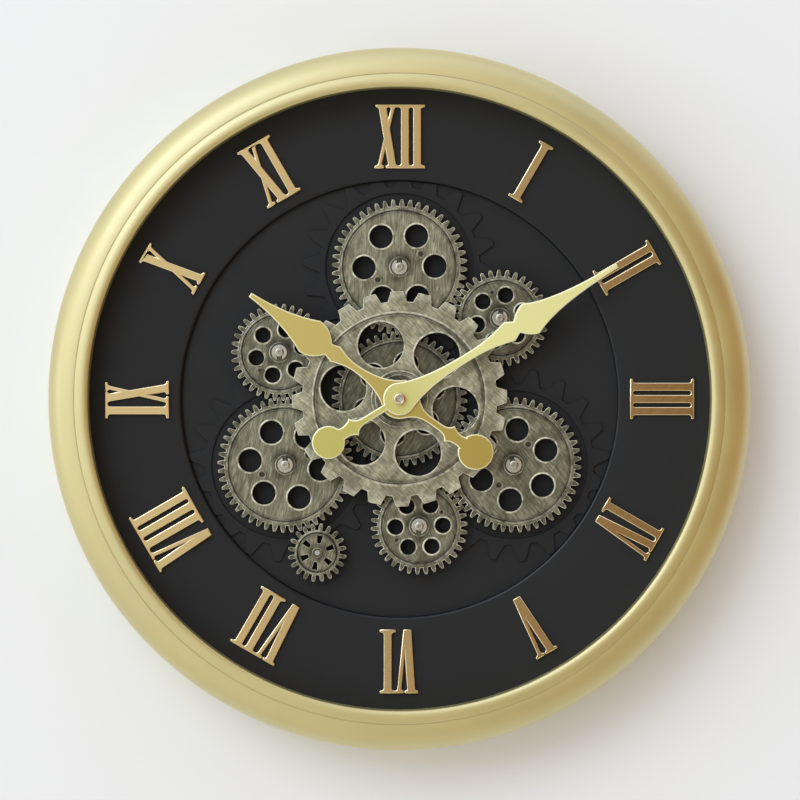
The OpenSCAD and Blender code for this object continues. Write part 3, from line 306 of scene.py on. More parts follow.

# %% Worn edges and painted highlights
inputs = [PLACE, ("Worn", "Float", 0.0), ("Scale", "Float", 300.0), ("Least", "Float", 0.4)]
wear_and_sheen_group, given, out = new_group("Worn edges and painted highlights", inputs, "Mask")
spots = noise(wear_and_sheen_group, given.outputs["Vector"], given.outputs["Scale"], 3.0)
patchy = ranged(wear_and_sheen_group, spots, 0.35, 0.6, given.outputs["Least"])
set_inputs(wear_and_sheen_group, out, {0: maths(wear_and_sheen_group, "MULTIPLY", patchy, given.outputs["Worn"])})
print(wear_and_sheen_group.name)

# %% Fine grain
grain_group, given, out = new_group("Fine grain", [PLACE, ("Scale", "Float", 1500.0)], "Height")
set_inputs(grain_group, out, {0: noise(grain_group, given.outputs["Vector"], given.outputs["Scale"], 2.0)})
print(len(bpy.data.node_groups), "node groups")


# %% Helpers that place the groups in a material
def effect(tree, group, values):
    """Places a node group and returns its output socket."""
    return put(tree, "ShaderNodeGroup", values, node_tree=group).outputs[0]


def object_place(tree, centre=(0, 0, 0), turn=0.0):
    """Object coordinates, centred on a place and turned about the clock's depth."""
    coords = put(tree, "ShaderNodeTexCoord", {}).outputs["Object"]
    values = {"Vector": coords, "Location": centre, "Rotation": (0, math.radians(turn), 0)}
    return put(tree, "ShaderNodeMapping", values, vector_type="TEXTURE").outputs[0]


def bumpy(tree, shader, height, depth):
    """Feeds a height into the shader's normal, with the depth of the bumps in metres."""
    bump = put(tree, "ShaderNodeBump", {"Height": height, "Distance": depth, "Strength": 1.0})
    set_inputs(tree, shader, {"Normal": bump.outputs[0]})


def mark(tree, name):
    """A mark that the modelling left on the faces."""
    return put(tree, "ShaderNodeAttribute", {}, attribute_name=name).outputs["Fac"]


def wear_and_sheen_mask(tree, where, scale, least):
    """A patchy mask over the faces that are marked as worn, for edge wear and for painted highlights on rims."""
    values = {"Vector": where, "Worn": mark(tree, "worn"), "Scale": scale, "Least": least}
    return effect(tree, wear_and_sheen_group, values)


# %% [markdown]
# ## Finishes of the case and dial
# The frame is a moulding sprayed with champagne gold metallic paint. A pure metal would mirror the room too
# sharply, so it is rough metal under a clear coat, which gives the soft broad gleam. The dial is matt black
# paint with a fine tooth to it, a little glossier on the edge of the recess.

# %% Frame gold
GOLD_DEEP, GOLD_PALE = (0.60, 0.526, 0.205), (0.645, 0.569, 0.227)
frame_gold, tree, shader = new_finish("frame_gold")
where = object_place(tree)
cloud = effect(tree, patina_group, {"Vector": where, "Scale": 14.0})
set_inputs(tree, shader, {"Base Color": between(tree, cloud, GOLD_DEEP, GOLD_PALE),
                          "Roughness": between(tree, cloud, 0.55, 0.62), "Metallic": 0.92,
                          "Coat Weight": 1.0, "Coat Roughness": 0.38, "Coat IOR": 2.15})
bumpy(tree, shader, effect(tree, grain_group, {"Vector": where, "Scale": 2600.0}), 0.012 * MM)
print(frame_gold.name)

# %% Dial black
BLACK_DEEP, BLACK_PALE = (0.0038, 0.0050, 0.0066), (0.0058, 0.0071, 0.0090)
dial_black, tree, shader = new_finish("dial_black")
where = object_place(tree)
cloud = effect(tree, patina_group, {"Vector": where, "Scale": 30.0})
matt = between(tree, cloud, 0.56, 0.66)
set_inputs(tree, shader, {"Base Color": between(tree, cloud, BLACK_DEEP, BLACK_PALE),
                          "Roughness": between(tree, mark(tree, "worn"), matt, 0.33),
                          "Specular IOR Level": 0.4})
bumpy(tree, shader, effect(tree, grain_group, {"Vector": where, "Scale": 1400.0}), 0.03 * MM)
print(dial_black.name)

# %% [markdown]
# ## Frame
# The frame is one section turned round the clock's axis: a leaning outer wall, a moulding that rounds up
# from it to a fine groove, and an inner bead that rolls over to the dial. It could be cut from a torus, but
# a drawn section keeps every radius in hand. The arcs are made by spinning a single vertex, the corners are
# softened with a vertex bevel, and the finished section is spun into the ring. The bosses for the screws
# and bumpers stand in its channel, open at the back.

# %% Sections and turning
AXIS = Vector((0, 1, 0))


def at_level(radius, level):
    """A point of a section: its radius and its height above the wall, in mm."""
    return Vector((clock_axis.x + radius * MM, wall_y - level * MM, clock_axis.z))


def line_to(bm, last, radius, level):
    """Draws the section on to a point."""
    vert = bm.verts.new(at_level(radius, level))
    bm.edges.new((last, vert))
    return vert


def arc_to(bm, last, centre, angle, tallness=1.0, steps=14):
    """Swings the section round a centre by an angle, drawn taller or flatter about that centre."""
    middle = at_level(*centre)
    about = Matrix.Translation(-middle)
    drawn = set(bm.verts)
    bmesh.ops.scale(bm, vec=(1, 1 / tallness, 1), verts=[last], space=about)
    made = bmesh.ops.spin(bm, geom=[last], cent=middle, axis=(0, 0, -1), angle=math.radians(angle),
                          steps=steps)
    swept = [v for v in bm.verts if v not in drawn] + [last]
    bmesh.ops.scale(bm, vec=(1, tallness, 1), verts=swept, space=about)
    return made["geom_last"][0]


def soften(bm, corners, radius, segments=3):
    """Rounds corners of a section."""
    bmesh.ops.bevel(bm, geom=corners, offset=radius * MM, offset_type="OFFSET", affect="VERTICES",
                    segments=segments, profile=0.5, material=-1)


def round_edges(bm, edges, width, segments=2):
    """Bevels edges of a solid, and gives the new faces."""
    made = bmesh.ops.bevel(bm, geom=edges, offset=width * MM, offset_type="OFFSET", affect="EDGES",
                           segments=segments, profile=0.5, material=-1)
    return made["faces"]


def turn_section(bm, centre, steps):
    """Spins a section about an axis towards the viewer and closes the ring."""
    bmesh.ops.spin(bm, geom=bm.verts[:] + bm.edges[:], cent=centre, axis=AXIS, angle=math.radians(360),
                   steps=steps, use_merge=True)
    bmesh.ops.remove_doubles(bm, verts=bm.verts[:], dist=0.001 * MM)
    bmesh.ops.recalc_face_normals(bm, faces=bm.faces[:])


# %% Shading and standing for a node
def smooth_by_angle(piece, angle=35):
    """Smooth shading that keeps corners crisp."""
    piece.data.polygons.foreach_set("use_smooth", [True] * len(piece.data.polygons))
    piece.data.set_sharp_from_angle(angle=math.radians(angle))


def stands_for(piece, node):
    """The piece is shown in place of a CAD node, and moves as that node does."""
    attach(piece, body_of[node])
    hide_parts(node)
    return piece


# %% Frame section
# Levels above the wall, radii and rounding are in mm, and arcs in degrees
RIM, PANEL, DIAL, CREST = 2, 28, 37, 60
REAR_OUT_R, WIDEST_R, REAR_IN_R = 228, 230, 225
RABBET_R, RIB_R = 209.4, 212.4
OPENING_R, CREST_R, WALL_LEAN = 203, 206.5, 0.7
GROOVE_IN_R, GROOVE_OUT_R, GROOVE_FLOOR, BEAD_EDGE = 211.8, 212.25, 58.2, 58.798
NOSE, CROWN, SIDE_ARC, LIP_ARC = (214.3, 42.452), (210.601, 30.721), 72.5, 14.124
BEAD_R, BEAD_ARC, ROLL_WIDE, ROLL_TALL = 12.505, 25.33, 3.5, 1.5
VAULT_FOOT, VAULT_EDGE, VAULT_ARC = 54.25, (214.404, 55.43), 8.75
BEAD_ROUND, CORNER_ROUND = 0.15, 0.5
RING_STEPS = 288

bm = bmesh.new()
rear = bm.verts.new(at_level(REAR_OUT_R, RIM))
side = line_to(bm, rear, WIDEST_R, NOSE[1])
shoulder = arc_to(bm, side, NOSE, SIDE_ARC, steps=28)
lip = arc_to(bm, shoulder, CROWN, LIP_ARC, steps=8)
groove_out = line_to(bm, lip, GROOVE_OUT_R, GROOVE_FLOOR)
groove_in = line_to(bm, groove_out, GROOVE_IN_R, GROOVE_FLOOR)
bead = line_to(bm, groove_in, GROOVE_IN_R, BEAD_EDGE)
crest = arc_to(bm, bead, (CREST_R, CREST - BEAD_R), BEAD_ARC, steps=8)
inner = arc_to(bm, crest, (CREST_R, CREST - ROLL_TALL), 90, tallness=ROLL_TALL / ROLL_WIDE, steps=16)
foot = line_to(bm, inner, OPENING_R + WALL_LEAN, DIAL)
rabbet = line_to(bm, foot, RABBET_R, DIAL)
seat = line_to(bm, rabbet, RABBET_R, PANEL)
rib = line_to(bm, seat, RIB_R, PANEL)
vault_foot = line_to(bm, rib, RIB_R, VAULT_FOOT)
vault = line_to(bm, vault_foot, *VAULT_EDGE)
ridge = arc_to(bm, vault, CROWN, -VAULT_ARC, steps=4)
wall_inner = arc_to(bm, ridge, NOSE, -SIDE_ARC)
rear_inner = line_to(bm, wall_inner, REAR_IN_R, RIM)
bm.edges.new((rear_inner, rear))
soften(bm, [bead], BEAD_ROUND)
soften(bm, [rear, rear_inner, foot], CORNER_ROUND)
turn_section(bm, clock_axis, RING_STEPS)
print("frame ring of", len(bm.faces), "faces")

# %% Bosses in the frame's channel
BOSS_AT, BOSS_R, BOSS_TOP, BOSS_ROUND = 218.7, 4.5, 54.2, 0.4
HANGER_ASIDE, HANGER_LEVEL = 19, RIM + 1.5


def boss(bm, x, y, foot_level):
    """A round boss in the frame's channel, with a softened foot."""
    middle = (foot_level + BOSS_TOP) / 2
    place = Vector((clock_axis.x + x * MM, wall_y - middle * MM, clock_axis.z + y * MM))
    made = bmesh.ops.create_cone(bm, cap_ends=True, segments=32, radius1=BOSS_R * MM, radius2=BOSS_R * MM,
                                 depth=(BOSS_TOP - foot_level) * MM,
                                 matrix=Matrix.Translation(place) @ FACE_FRONT)
    edges = {e for v in made["verts"] for e in v.link_edges}
    round_edges(bm, [e for e in edges if all(v.co.y > place.y for v in e.verts)], BOSS_ROUND)


def bosses_round(bm, count, first, foot_level):
    """Bosses spread round the channel, the first at an angle."""
    for i in range(count):
        a = math.radians(first + 360 / count * i)
        boss(bm, BOSS_AT * math.cos(a), BOSS_AT * math.sin(a), foot_level)


bosses_round(bm, count=8, first=22.5, foot_level=PANEL)
bosses_round(bm, count=4, first=45, foot_level=RIM)
for x in (-HANGER_ASIDE, HANGER_ASIDE):
    boss(bm, x, BOSS_AT, HANGER_LEVEL)
ring = stands_for(finish_mesh("frame_ring", bm, frame_gold), "outer_frame")
smooth_by_angle(ring)
print("frame ring and bosses of", len(ring.data.polygons), "faces")

# %% [markdown]
# ## Dial
# The dial is two black discs, and the front one is a ring round the recess for the gears. It is turned as
# the frame is, with a softened step down to the recess. On the recess floor three shallow ring gears stand
# in relief, in the same black, one round each large gear. A bump in the material would not catch the light
# on its edges, so each is one tooth spun round its centre, cut off at the recess wall, and raised by less
# than two millimetres.

# %% Chapter ring
FLOOR, RECESS_R, DIAL_R, CHAMFER, STEP_ROUND = 33, 143.1, 209, 1.2, 0.7
STEEP, LEVEL = 0.3, 0.99
bm = bmesh.new()
first = bm.verts.new(at_level(RECESS_R, FLOOR))
rear_edge = line_to(bm, first, DIAL_R, FLOOR)
front_edge = line_to(bm, rear_edge, DIAL_R, DIAL)
edge = line_to(bm, front_edge, RECESS_R + CHAMFER, DIAL)
step = line_to(bm, edge, RECESS_R, DIAL - CHAMFER)
bm.edges.new((step, first))
soften(bm, [edge, step], STEP_ROUND, segments=4)
turn_section(bm, clock_axis, RING_STEPS)
worn = bm.faces.layers.float.new("worn")
for face in bm.faces:
    face[worn] = STEEP < -face.normal.y < LEVEL
chapter = stands_for(finish_mesh("dial_ring", bm, dial_black), "chapter_ring")
smooth_by_angle(chapter, angle=25)
print("chapter ring of", len(chapter.data.polygons), "faces")

# %% Relief on the recess floor
RELIEF_TEETH, RELIEF_HEIGHT, RELIEF_ROUND = 20, 1.5, 0.25
RELIEF_IN_R, RELIEF_ROOT_R, RELIEF_TIP_R = 48.7, 53.0, 63.6
ROOT_HALF, TIP_HALF = 6.5, 1.8
PITCH = 360 / RELIEF_TEETH
RIM_ANGLE = math.radians(40)
CUTS, RECESS_CLEARANCE = 96, 0.1


def floor_point(centre, radius, angle):
    """A point on the recess floor, round a gear's centre."""
    a = math.radians(angle)
    x = centre.x + radius * MM * math.cos(a)
    return Vector((x, wall_y - FLOOR * MM, centre.z + radius * MM * math.sin(a)))


def cut_at_recess(bm):
    """Cuts off what lies past the recess wall."""
    for k in range(CUTS):
        a = math.radians(360 * k / CUTS)
        outwards = Vector((math.cos(a), 0, math.sin(a)))
        on_circle = clock_axis + outwards * (RECESS_R - RECESS_CLEARANCE) * MM
        bmesh.ops.bisect_plane(bm, geom=bm.verts[:] + bm.edges[:] + bm.faces[:], dist=1e-7,
                               plane_co=on_circle, plane_no=outwards, clear_outer=True)


def dial_relief(name, body, phase):
    """A shallow ring gear round one large gear."""
    centre = axis_of[body]
    outline = [(RELIEF_IN_R, PITCH * k / 8) for k in range(-4, 5)]
    outline += [(RELIEF_ROOT_R, PITCH / 2), (RELIEF_ROOT_R, ROOT_HALF), (RELIEF_TIP_R, TIP_HALF)]
    outline += [(RELIEF_TIP_R, -TIP_HALF), (RELIEF_ROOT_R, -ROOT_HALF), (RELIEF_ROOT_R, -PITCH / 2)]
    bm = bmesh.new()
    tooth = bm.faces.new([bm.verts.new(floor_point(centre, r, phase + a)) for r, a in outline])
    bmesh.ops.spin(bm, geom=[tooth], cent=centre, axis=AXIS, angle=math.radians(360 - PITCH),
                   steps=RELIEF_TEETH - 1, use_duplicate=True)
    bmesh.ops.remove_doubles(bm, verts=bm.verts[:], dist=0.01 * MM)
    cut_at_recess(bm)
    raised = bmesh.ops.extrude_face_region(bm, geom=bm.faces[:])
    top = verts_of(raised["geom"])
    bmesh.ops.translate(bm, vec=(0, -RELIEF_HEIGHT * MM, 0), verts=top)
    bmesh.ops.recalc_face_normals(bm, faces=bm.faces[:])
    rim = [e for e in bm.edges if len(e.link_faces) == 2 and e.calc_face_angle() > RIM_ANGLE
           and all(v in top for v in e.verts)]
    round_edges(bm, rim, RELIEF_ROUND)
    piece = finish_mesh(name, bm, dial_black)
    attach(piece, "case")
    print(name, len(piece.data.polygons), "faces")


for name, body, phase in (("relief_top", "large_top", 15.0), ("relief_left", "large_left", 13.3),
                          ("relief_right", "large_right", 5.5)):
    dial_relief(name, body, phase)

# %% [markdown]
# ## Softened copies
# The other pieces already have their shape in the CAD model, but its edges are knife sharp, and a sharp
# edge catches no light. A copy is merged, its flat faces are joined up again, and every hard edge gets a
# narrow bevel. A Bevel modifier would do that too, but here the new faces can be marked: bevels as worn and
# sunken faces as deep, so a finish can shine on the edges and darken in the grooves. On the gears that
# darkening, and the darker steep sides, are patina and painted shade, and on the hands and numerals the
# shine on the edges is a painted highlight. The edges of small pits hold dirt and painted shade, and
# shine less.

# %% Marks for the finishes
FLAT, HARD = math.radians(0.6), math.radians(35)
SMALL_FACE, PIT_R = 15 * MM * MM, 3.2 * MM
LEAST_STEP, DEEPEST, HIGHEST = 0.2, 1.2, 0.7
TO_FRONT = 0.9
# Strengths of the marks. On the gears the deep mark becomes patina and painted shade. The worn mark becomes edge
# wear, and on the hands and numerals also a painted highlight.
GROOVE_DEEP, PIT_DEEP, SIDE_SHADE, PIT_EDGE_DEEP = 1.0, 0.8, 0.6, 0.5
EDGE_WEAR_AND_SHEEN, RAISED_WORN, PIT_EDGE_WORN, DOT_WORN = 1.0, 0.8, 0.3, 0.24


def faces_front(face):
    """Whether a face looks towards the viewer."""
    return face.normal.y < -TO_FRONT


def mark_levels(bm, worn, deep, face_level):
    """Marks the faces below and above a gear's face, and gives the middles of its small pits."""
    pits = []
    for face in bm.faces:
        middle = face.calc_center_median()
        below = face_level - (wall_y - middle.y) / MM
        small = face.calc_area() < SMALL_FACE
        sunk = faces_front(face) and LEAST_STEP < below < DEEPEST
        raised = faces_front(face) and -HIGHEST < below < -LEAST_STEP
        # Steep sides, such as tooth flanks and window walls, are marked for painted shade.
        face[deep] = SIDE_SHADE if abs(face.normal.y) < STEEP else 0.0
        if sunk:
            face[deep] = PIT_DEEP if small else GROOVE_DEEP
        if raised:
            face[worn] = DOT_WORN if small else RAISED_WORN
        if sunk and small:
            pits.append(middle)
    return pits


# %% Softened copy of a CAD node
def softened(node, material, edge, face_level=None, segments=2, front_only=False):
    """Shows a copy of a CAD node with bevelled edges, in mm, and marks its worn and deep faces, for wear, patina,
    painted highlights and painted shade.
    """
    bm = bmesh.new()
    bm.from_mesh(nodes[node].data)
    bmesh.ops.remove_doubles(bm, verts=bm.verts[:], dist=0.002 * MM)
    bmesh.ops.dissolve_limit(bm, angle_limit=FLAT, verts=bm.verts[:], edges=bm.edges[:])
    worn = bm.faces.layers.float.new("worn")
    deep = bm.faces.layers.float.new("deep")
    for face in bm.faces:
        angles = [e.calc_face_angle(0) for e in face.edges if len(e.link_faces) == 2]
        face.smooth = any(FLAT < a < HARD for a in angles)
    pits = [] if face_level is None else mark_levels(bm, worn, deep, face_level)
    hard = [e for e in bm.edges if len(e.link_faces) == 2 and e.calc_face_angle(0) > HARD]
    if front_only:
        hard = [e for e in hard if any(faces_front(f) for f in e.link_faces)]
    for face in round_edges(bm, hard, edge, segments):
        in_pit = any((face.calc_center_median() - pit).length < PIT_R for pit in pits)
        face[worn] = PIT_EDGE_WORN if in_pit else EDGE_WEAR_AND_SHEEN
        face[deep] = PIT_EDGE_DEEP if in_pit else 0.0
        face.smooth = True
    stands_for(finish_mesh(node + "_shown", bm, material), node)


def paint(node, material):
    """A CAD node whose shape is right keeps it and gets a finish."""
    nodes[node].data.materials.clear()
    nodes[node].data.materials.append(material)


# %% [markdown]
# ## Numerals
# The numerals are die cast and plated in a polished copper gold. Their strokes are rounded over towards
# the edges, so each face is a little darker than the bright rim round it, and a paler colour on the bevels
# paints a highlight on that rim, patchy like wear. A subdivided pillow would blur the serifs, so a wide
# bevel on the front edges alone gives that roundness.

# %% Numerals
NUMERAL_EDGE = 0.5
PLATE_DEEP, PLATE_PALE, PLATE_RIM = (0.66, 0.505, 0.23), (0.71, 0.55, 0.265), (0.93, 0.80, 0.54)
numeral_gold, tree, shader = new_finish("numeral_gold")
where = object_place(tree, turn=35)
streaks = effect(tree, streak_group, {"Vector": where, "Across": 1400.0, "Along": 60.0})
plate = between(tree, streaks, PLATE_DEEP, PLATE_PALE)
# The pale rim colour on the bevels is a painted highlight, patchy like wear.
wear_and_sheen = wear_and_sheen_mask(tree, where, scale=120.0, least=0.7)
set_inputs(tree, shader, {"Base Color": between(tree, wear_and_sheen, plate, PLATE_RIM),
                          "Roughness": between(tree, streaks, 0.13, 0.19), "Metallic": 1.0})
bumpy(tree, shader, streaks, 0.001 * MM)
for hour in range(1, 13):
    softened(f"numeral_{hour}", numeral_gold, NUMERAL_EDGE, segments=3, front_only=True)
print("12 numerals")

# %% [markdown]
# ## Gears
# The gears are cast in a soft grey metal and brushed, then darkened and wiped: the patina stays in the
# grooves, in the tooth gaps and round the bosses, and the edges are worn bright. That darkening is painted
# shade as well as patina. Masks by the distance from the gear's axis put the patina and painted shade there,
# with no picture to paint. Every gear was brushed in its own direction, so each gets its own copy of the
# finish, centred on its axis.

# %% Pewter finish
PEWTER_DARK, PEWTER_PALE = (0.074, 0.072, 0.044), (0.55, 0.55, 0.40)
# The darkest colour below is patina and painted shade, laid round the bosses, along the grooves and over the
# teeth.
PEWTER_STAIN, PEWTER_PATINA_AND_SHADE, PEWTER_BRIGHT = (0.084, 0.075, 0.042), (0.022, 0.02, 0.011), (0.82, 0.80, 0.64)
BOSS_PATINA_AND_SHADE, BOSS_SPREAD = 0.9, 6
GROOVE_PATINA_AND_SHADE, GROOVE_HALF, GROOVE_SPREAD = 0.75, 0.4, 2.6
TOOTH_FOOT, TOOTH_SHADE_END, TOOTH_SHINE = -1, -3, 2


def pewter(name, centre, turns, radii, paleness=1.0, shine=0.25, tooth_patina_and_shade=0.64):
    """Antique pewter for one gear, by its axis, brushings, tones and radii of boss, groove and teeth, with patina
    and painted shade in its hollows.
    """
    boss_r, groove_r, tooth_r = radii
    material, tree, shader = new_finish(name)
    where = object_place(tree, centre, turns[0])
    crossed = object_place(tree, centre, turns[1])
    streaks = effect(tree, streak_group, {"Vector": where, "Across": 1000.0, "Along": 130.0})
    scratches = effect(tree, streak_group, {"Vector": crossed, "Across": 280.0, "Along": 60.0})
    stain = effect(tree, patina_group, {"Vector": where, "Scale": 70.0})
    flat = put(tree, "ShaderNodeVectorMath", {0: where, 1: (1, 0, 1)}, operation="MULTIPLY").outputs[0]
    radius = put(tree, "ShaderNodeVectorMath", {0: flat}, operation="LENGTH").outputs["Value"]

    # Patina and painted shade: darker round the boss, along the groove, over the teeth and on faces marked deep.
    at_boss = fade(tree, radius, boss_r * MM, (boss_r + BOSS_SPREAD) * MM, BOSS_PATINA_AND_SHADE)
    from_groove = maths(tree, "ABSOLUTE", maths(tree, "SUBTRACT", radius, groove_r * MM))
    at_groove = fade(tree, from_groove, GROOVE_HALF * MM, GROOVE_SPREAD * MM, GROOVE_PATINA_AND_SHADE)
    teeth_patina_and_shade = fade(tree, radius, (tooth_r + TOOTH_FOOT) * MM, (tooth_r + TOOTH_SHADE_END) * MM, tooth_patina_and_shade)
    hollows_patina_and_shade = maths(tree, "MAXIMUM", maths(tree, "MAXIMUM", at_boss, at_groove), teeth_patina_and_shade)
    patchy_patina_and_shade = maths(tree, "MULTIPLY", hollows_patina_and_shade, between(tree, stain, 0.5, 1.0))
    patina_and_painted_shade = maths(tree, "MAXIMUM", patchy_patina_and_shade, mark(tree, "deep"))

    pale = tuple(paleness * c for c in PEWTER_PALE)
    dark = tuple(paleness * c for c in PEWTER_DARK)
    brushing = maths(tree, "MULTIPLY", streaks, between(tree, scratches, 0.3, 1.0))
    brushed = between(tree, brushing, dark, pale)
    stained = between(tree, maths(tree, "MULTIPLY", stain, 0.5), brushed, PEWTER_STAIN)
    # Patina and painted shade darken the brushed metal here.
    aged_and_shaded = between(tree, patina_and_painted_shade, stained, PEWTER_PATINA_AND_SHADE)

    at_teeth = fade(tree, radius, (tooth_r + TOOTH_SHINE) * MM, (tooth_r + TOOTH_FOOT) * MM, 1.0)
    open_teeth = maths(tree, "MULTIPLY", at_teeth, maths(tree, "SUBTRACT", 1.0, mark(tree, "deep")))
    shelter = maths(tree, "MAXIMUM", maths(tree, "MULTIPLY", at_boss, 0.5), at_groove)
    open_edges = maths(tree, "MULTIPLY", mark(tree, "worn"), maths(tree, "SUBTRACT", 1.0, shelter))
    worn = maths(tree, "MAXIMUM", maths(tree, "MULTIPLY", open_teeth, shine), open_edges)
    wear_and_sheen = effect(tree, wear_and_sheen_group, {"Vector": where, "Worn": worn, "Scale": 260.0, "Least": 0.15})
    set_inputs(tree, shader, {"Base Color": between(tree, wear_and_sheen, aged_and_shaded, PEWTER_BRIGHT),
                              "Roughness": between(tree, streaks, 0.52, 0.38),
                              "Metallic": between(tree, wear_and_sheen, 0.7, 0.25)})
    bumpy(tree, shader, streaks, 0.02 * MM)
    return material


# %% Gears
# Levels of the gears' faces, and radii of their bosses, grooves and teeth, in mm
GEAR_FACE, CENTRE_FACE = 42, 48.3
LARGE_RADII, MEDIUM_RADII = (6.5, 37.06, 42.0), (6.5, 24.46, 29.5)
PINION_RADII, CENTRE_RADII = (3.1, 12.86, 17.5), (15.5, 54.8, 66.0)
# Brushing angles, radii, paleness and width of the bevels
gear_looks = {"large_gear_top": ((4, 0), LARGE_RADII, 1.3, 0.3),
              "large_gear_left": ((12, 2), LARGE_RADII, 1.15, 0.3),
              "large_gear_right": ((-40, 25), LARGE_RADII, 1.0, 0.3),
              "medium_gear_top": ((-35, 20), MEDIUM_RADII, 1.0, 0.3),
              "medium_gear_left": ((20, -5), MEDIUM_RADII, 1.0, 0.3),
              "medium_gear_bottom": ((-20, 40), MEDIUM_RADII, 1.0, 0.3),
              # The hub gear's low paleness is painted shade, as it lies behind the centre gear.
              "hub_gear": ((30, -20), LARGE_RADII, 0.58, 0.22),
              "drive_pinion": ((15, -30), PINION_RADII, 1.2, 0.2)}
for node, (turns, radii, paleness, edge) in gear_looks.items():
    finish = pewter("pewter_" + node, axis_of[body_of[node]], turns, radii, paleness)
    softened(node, finish, edge, GEAR_FACE)
centre_finish = pewter("pewter_centre_gear", clock_axis, (-45, 40), CENTRE_RADII, 1.8, shine=0.4, tooth_patina_and_shade=0.0)
softened("centre_gear", centre_finish, 0.35, CENTRE_FACE)
print(len(gear_looks) + 1, "gears")

# %% [markdown]
# ## Hands
# The hands are stamped from sheet metal and plated in a satin gold, the minute hand paler than the hour
# hand. They could be drawn anew, but the CAD outlines are right, so only their front rims are bevelled.
# Those rims get a pale, less metallic colour, which is a painted highlight, patchy like wear.
# The plating is part metal, part pigment, because a full metal would turn dark wherever it mirrors the
# warm side of the room.

# %% Hands
TAIL_END, BLADE_START = -30 * MM, 60 * MM


def satin_gold(name, tail, blade, edge, turn):
    """Satin gold plating with bright rims painted as a highlight, brushed along the hand and paler towards its
    blade.
    """
    material, tree, shader = new_finish(name)
    where = object_place(tree, clock_axis, turn)
    along = put(tree, "ShaderNodeSeparateXYZ", {0: where}).outputs["Z"]
    to_blade = ranged(tree, along, TAIL_END, BLADE_START)
    streaks = effect(tree, streak_group, {"Vector": where, "Across": 900.0, "Along": 25.0})
    # The pale rim colour and the lower metallic on the bevels are a painted highlight, patchy like wear.
    wear_and_sheen = wear_and_sheen_mask(tree, where, scale=60.0, least=0.75)
    plate = between(tree, to_blade, tail, blade)
    dulled = between(tree, maths(tree, "MULTIPLY", streaks, 0.12), plate, tail)
    set_inputs(tree, shader, {"Base Color": between(tree, wear_and_sheen, dulled, edge),
                              "Roughness": between(tree, streaks, 0.32, 0.42),
                              "Metallic": between(tree, wear_and_sheen, 0.65, 0.2)})
    bumpy(tree, shader, streaks, 0.004 * MM)
    return material


HAND_EDGE = 0.8
HOUR_TAIL, HOUR_BLADE, HOUR_RIM = (0.50, 0.39, 0.09), (0.63, 0.525, 0.165), (0.96, 0.91, 0.58)
MINUTE_TAIL, MINUTE_BLADE, MINUTE_RIM = (0.61, 0.585, 0.165), (0.96, 0.98, 0.45), (0.97, 0.96, 0.68)
hand_gold = satin_gold("hand_gold", HOUR_TAIL, HOUR_BLADE, HOUR_RIM, turn=-55)
hand_pale_gold = satin_gold("hand_pale_gold", MINUTE_TAIL, MINUTE_BLADE, MINUTE_RIM, turn=58.5)
softened("hour_hand", hand_gold, HAND_EDGE, segments=3, front_only=True)
softened("minute_hand", hand_pale_gold, HAND_EDGE, segments=3, front_only=True)
print("2 hands")

# %% [markdown]
# ## Nut
# A polished round nut holds the hands, countersunk round the shaft's end. A bevelled cylinder would need
# its hole cut afterwards, so the nut is drawn as a section with its hole and turned, as the frame is.

# %% Nut finish
NUT_DEEP, NUT_PALE = (0.72, 0.595, 0.44), (0.80, 0.68, 0.52)
nut_polished, tree, shader = new_finish("nut_polished")
cloud = effect(tree, patina_group, {"Vector": object_place(tree, clock_axis), "Scale": 400.0})
set_inputs(tree, shader, {"Base Color": between(tree, cloud, NUT_DEEP, NUT_PALE),
                          "Roughness": between(tree, cloud, 0.12, 0.2), "Metallic": 1.0})
print(nut_polished.name)

# %% Nut
NUT_FOOT, NUT_TOP, NUT_R, NUT_ROUND, SHAFT_R = 57.05, 60.45, 4.0, 1.2, 1.5
SINK_R, SINK_DEPTH, SINK_ROUND = 2.6, 1.1, 0.15
NUT_STEPS = 64
bm = bmesh.new()
inside = bm.verts.new(at_level(SHAFT_R, NUT_FOOT))
nut_edge = line_to(bm, inside, NUT_R, NUT_FOOT)
side = line_to(bm, nut_edge, NUT_R, NUT_TOP - NUT_ROUND)
brow = arc_to(bm, side, (NUT_R - NUT_ROUND, NUT_TOP - NUT_ROUND), 90, steps=8)
sink = line_to(bm, brow, SINK_R, NUT_TOP)
shaft_edge = line_to(bm, sink, SHAFT_R, NUT_TOP - SINK_DEPTH)
bm.edges.new((shaft_edge, inside))
soften(bm, [sink], SINK_ROUND)
turn_section(bm, clock_axis, NUT_STEPS)
nut = stands_for(finish_mesh("cap_nut", bm, nut_polished), "hand_nut")
smooth_by_angle(nut, angle=50)
print("nut of", len(nut.data.polygons), "faces")

# %% [markdown]
# ## Hardware and the back
# The posts and their clips are aged nickel, and the screws, nuts and hanger plate are zinc plated steel.
# The bush, stem and wheels are turned brass, and the movement and the drive have cases of black moulded
# plastic with a fine texture. Two functions make all these finishes, because the metals differ only in
# their tones and the mouldings only in their tones and texture. The posts are turned from a section,
# because their rounded and countersunk ends face the viewer. The rest could be modelled again too, but
# softened copies of the CAD shapes are enough, and what hides inside the cases only gets its finish.


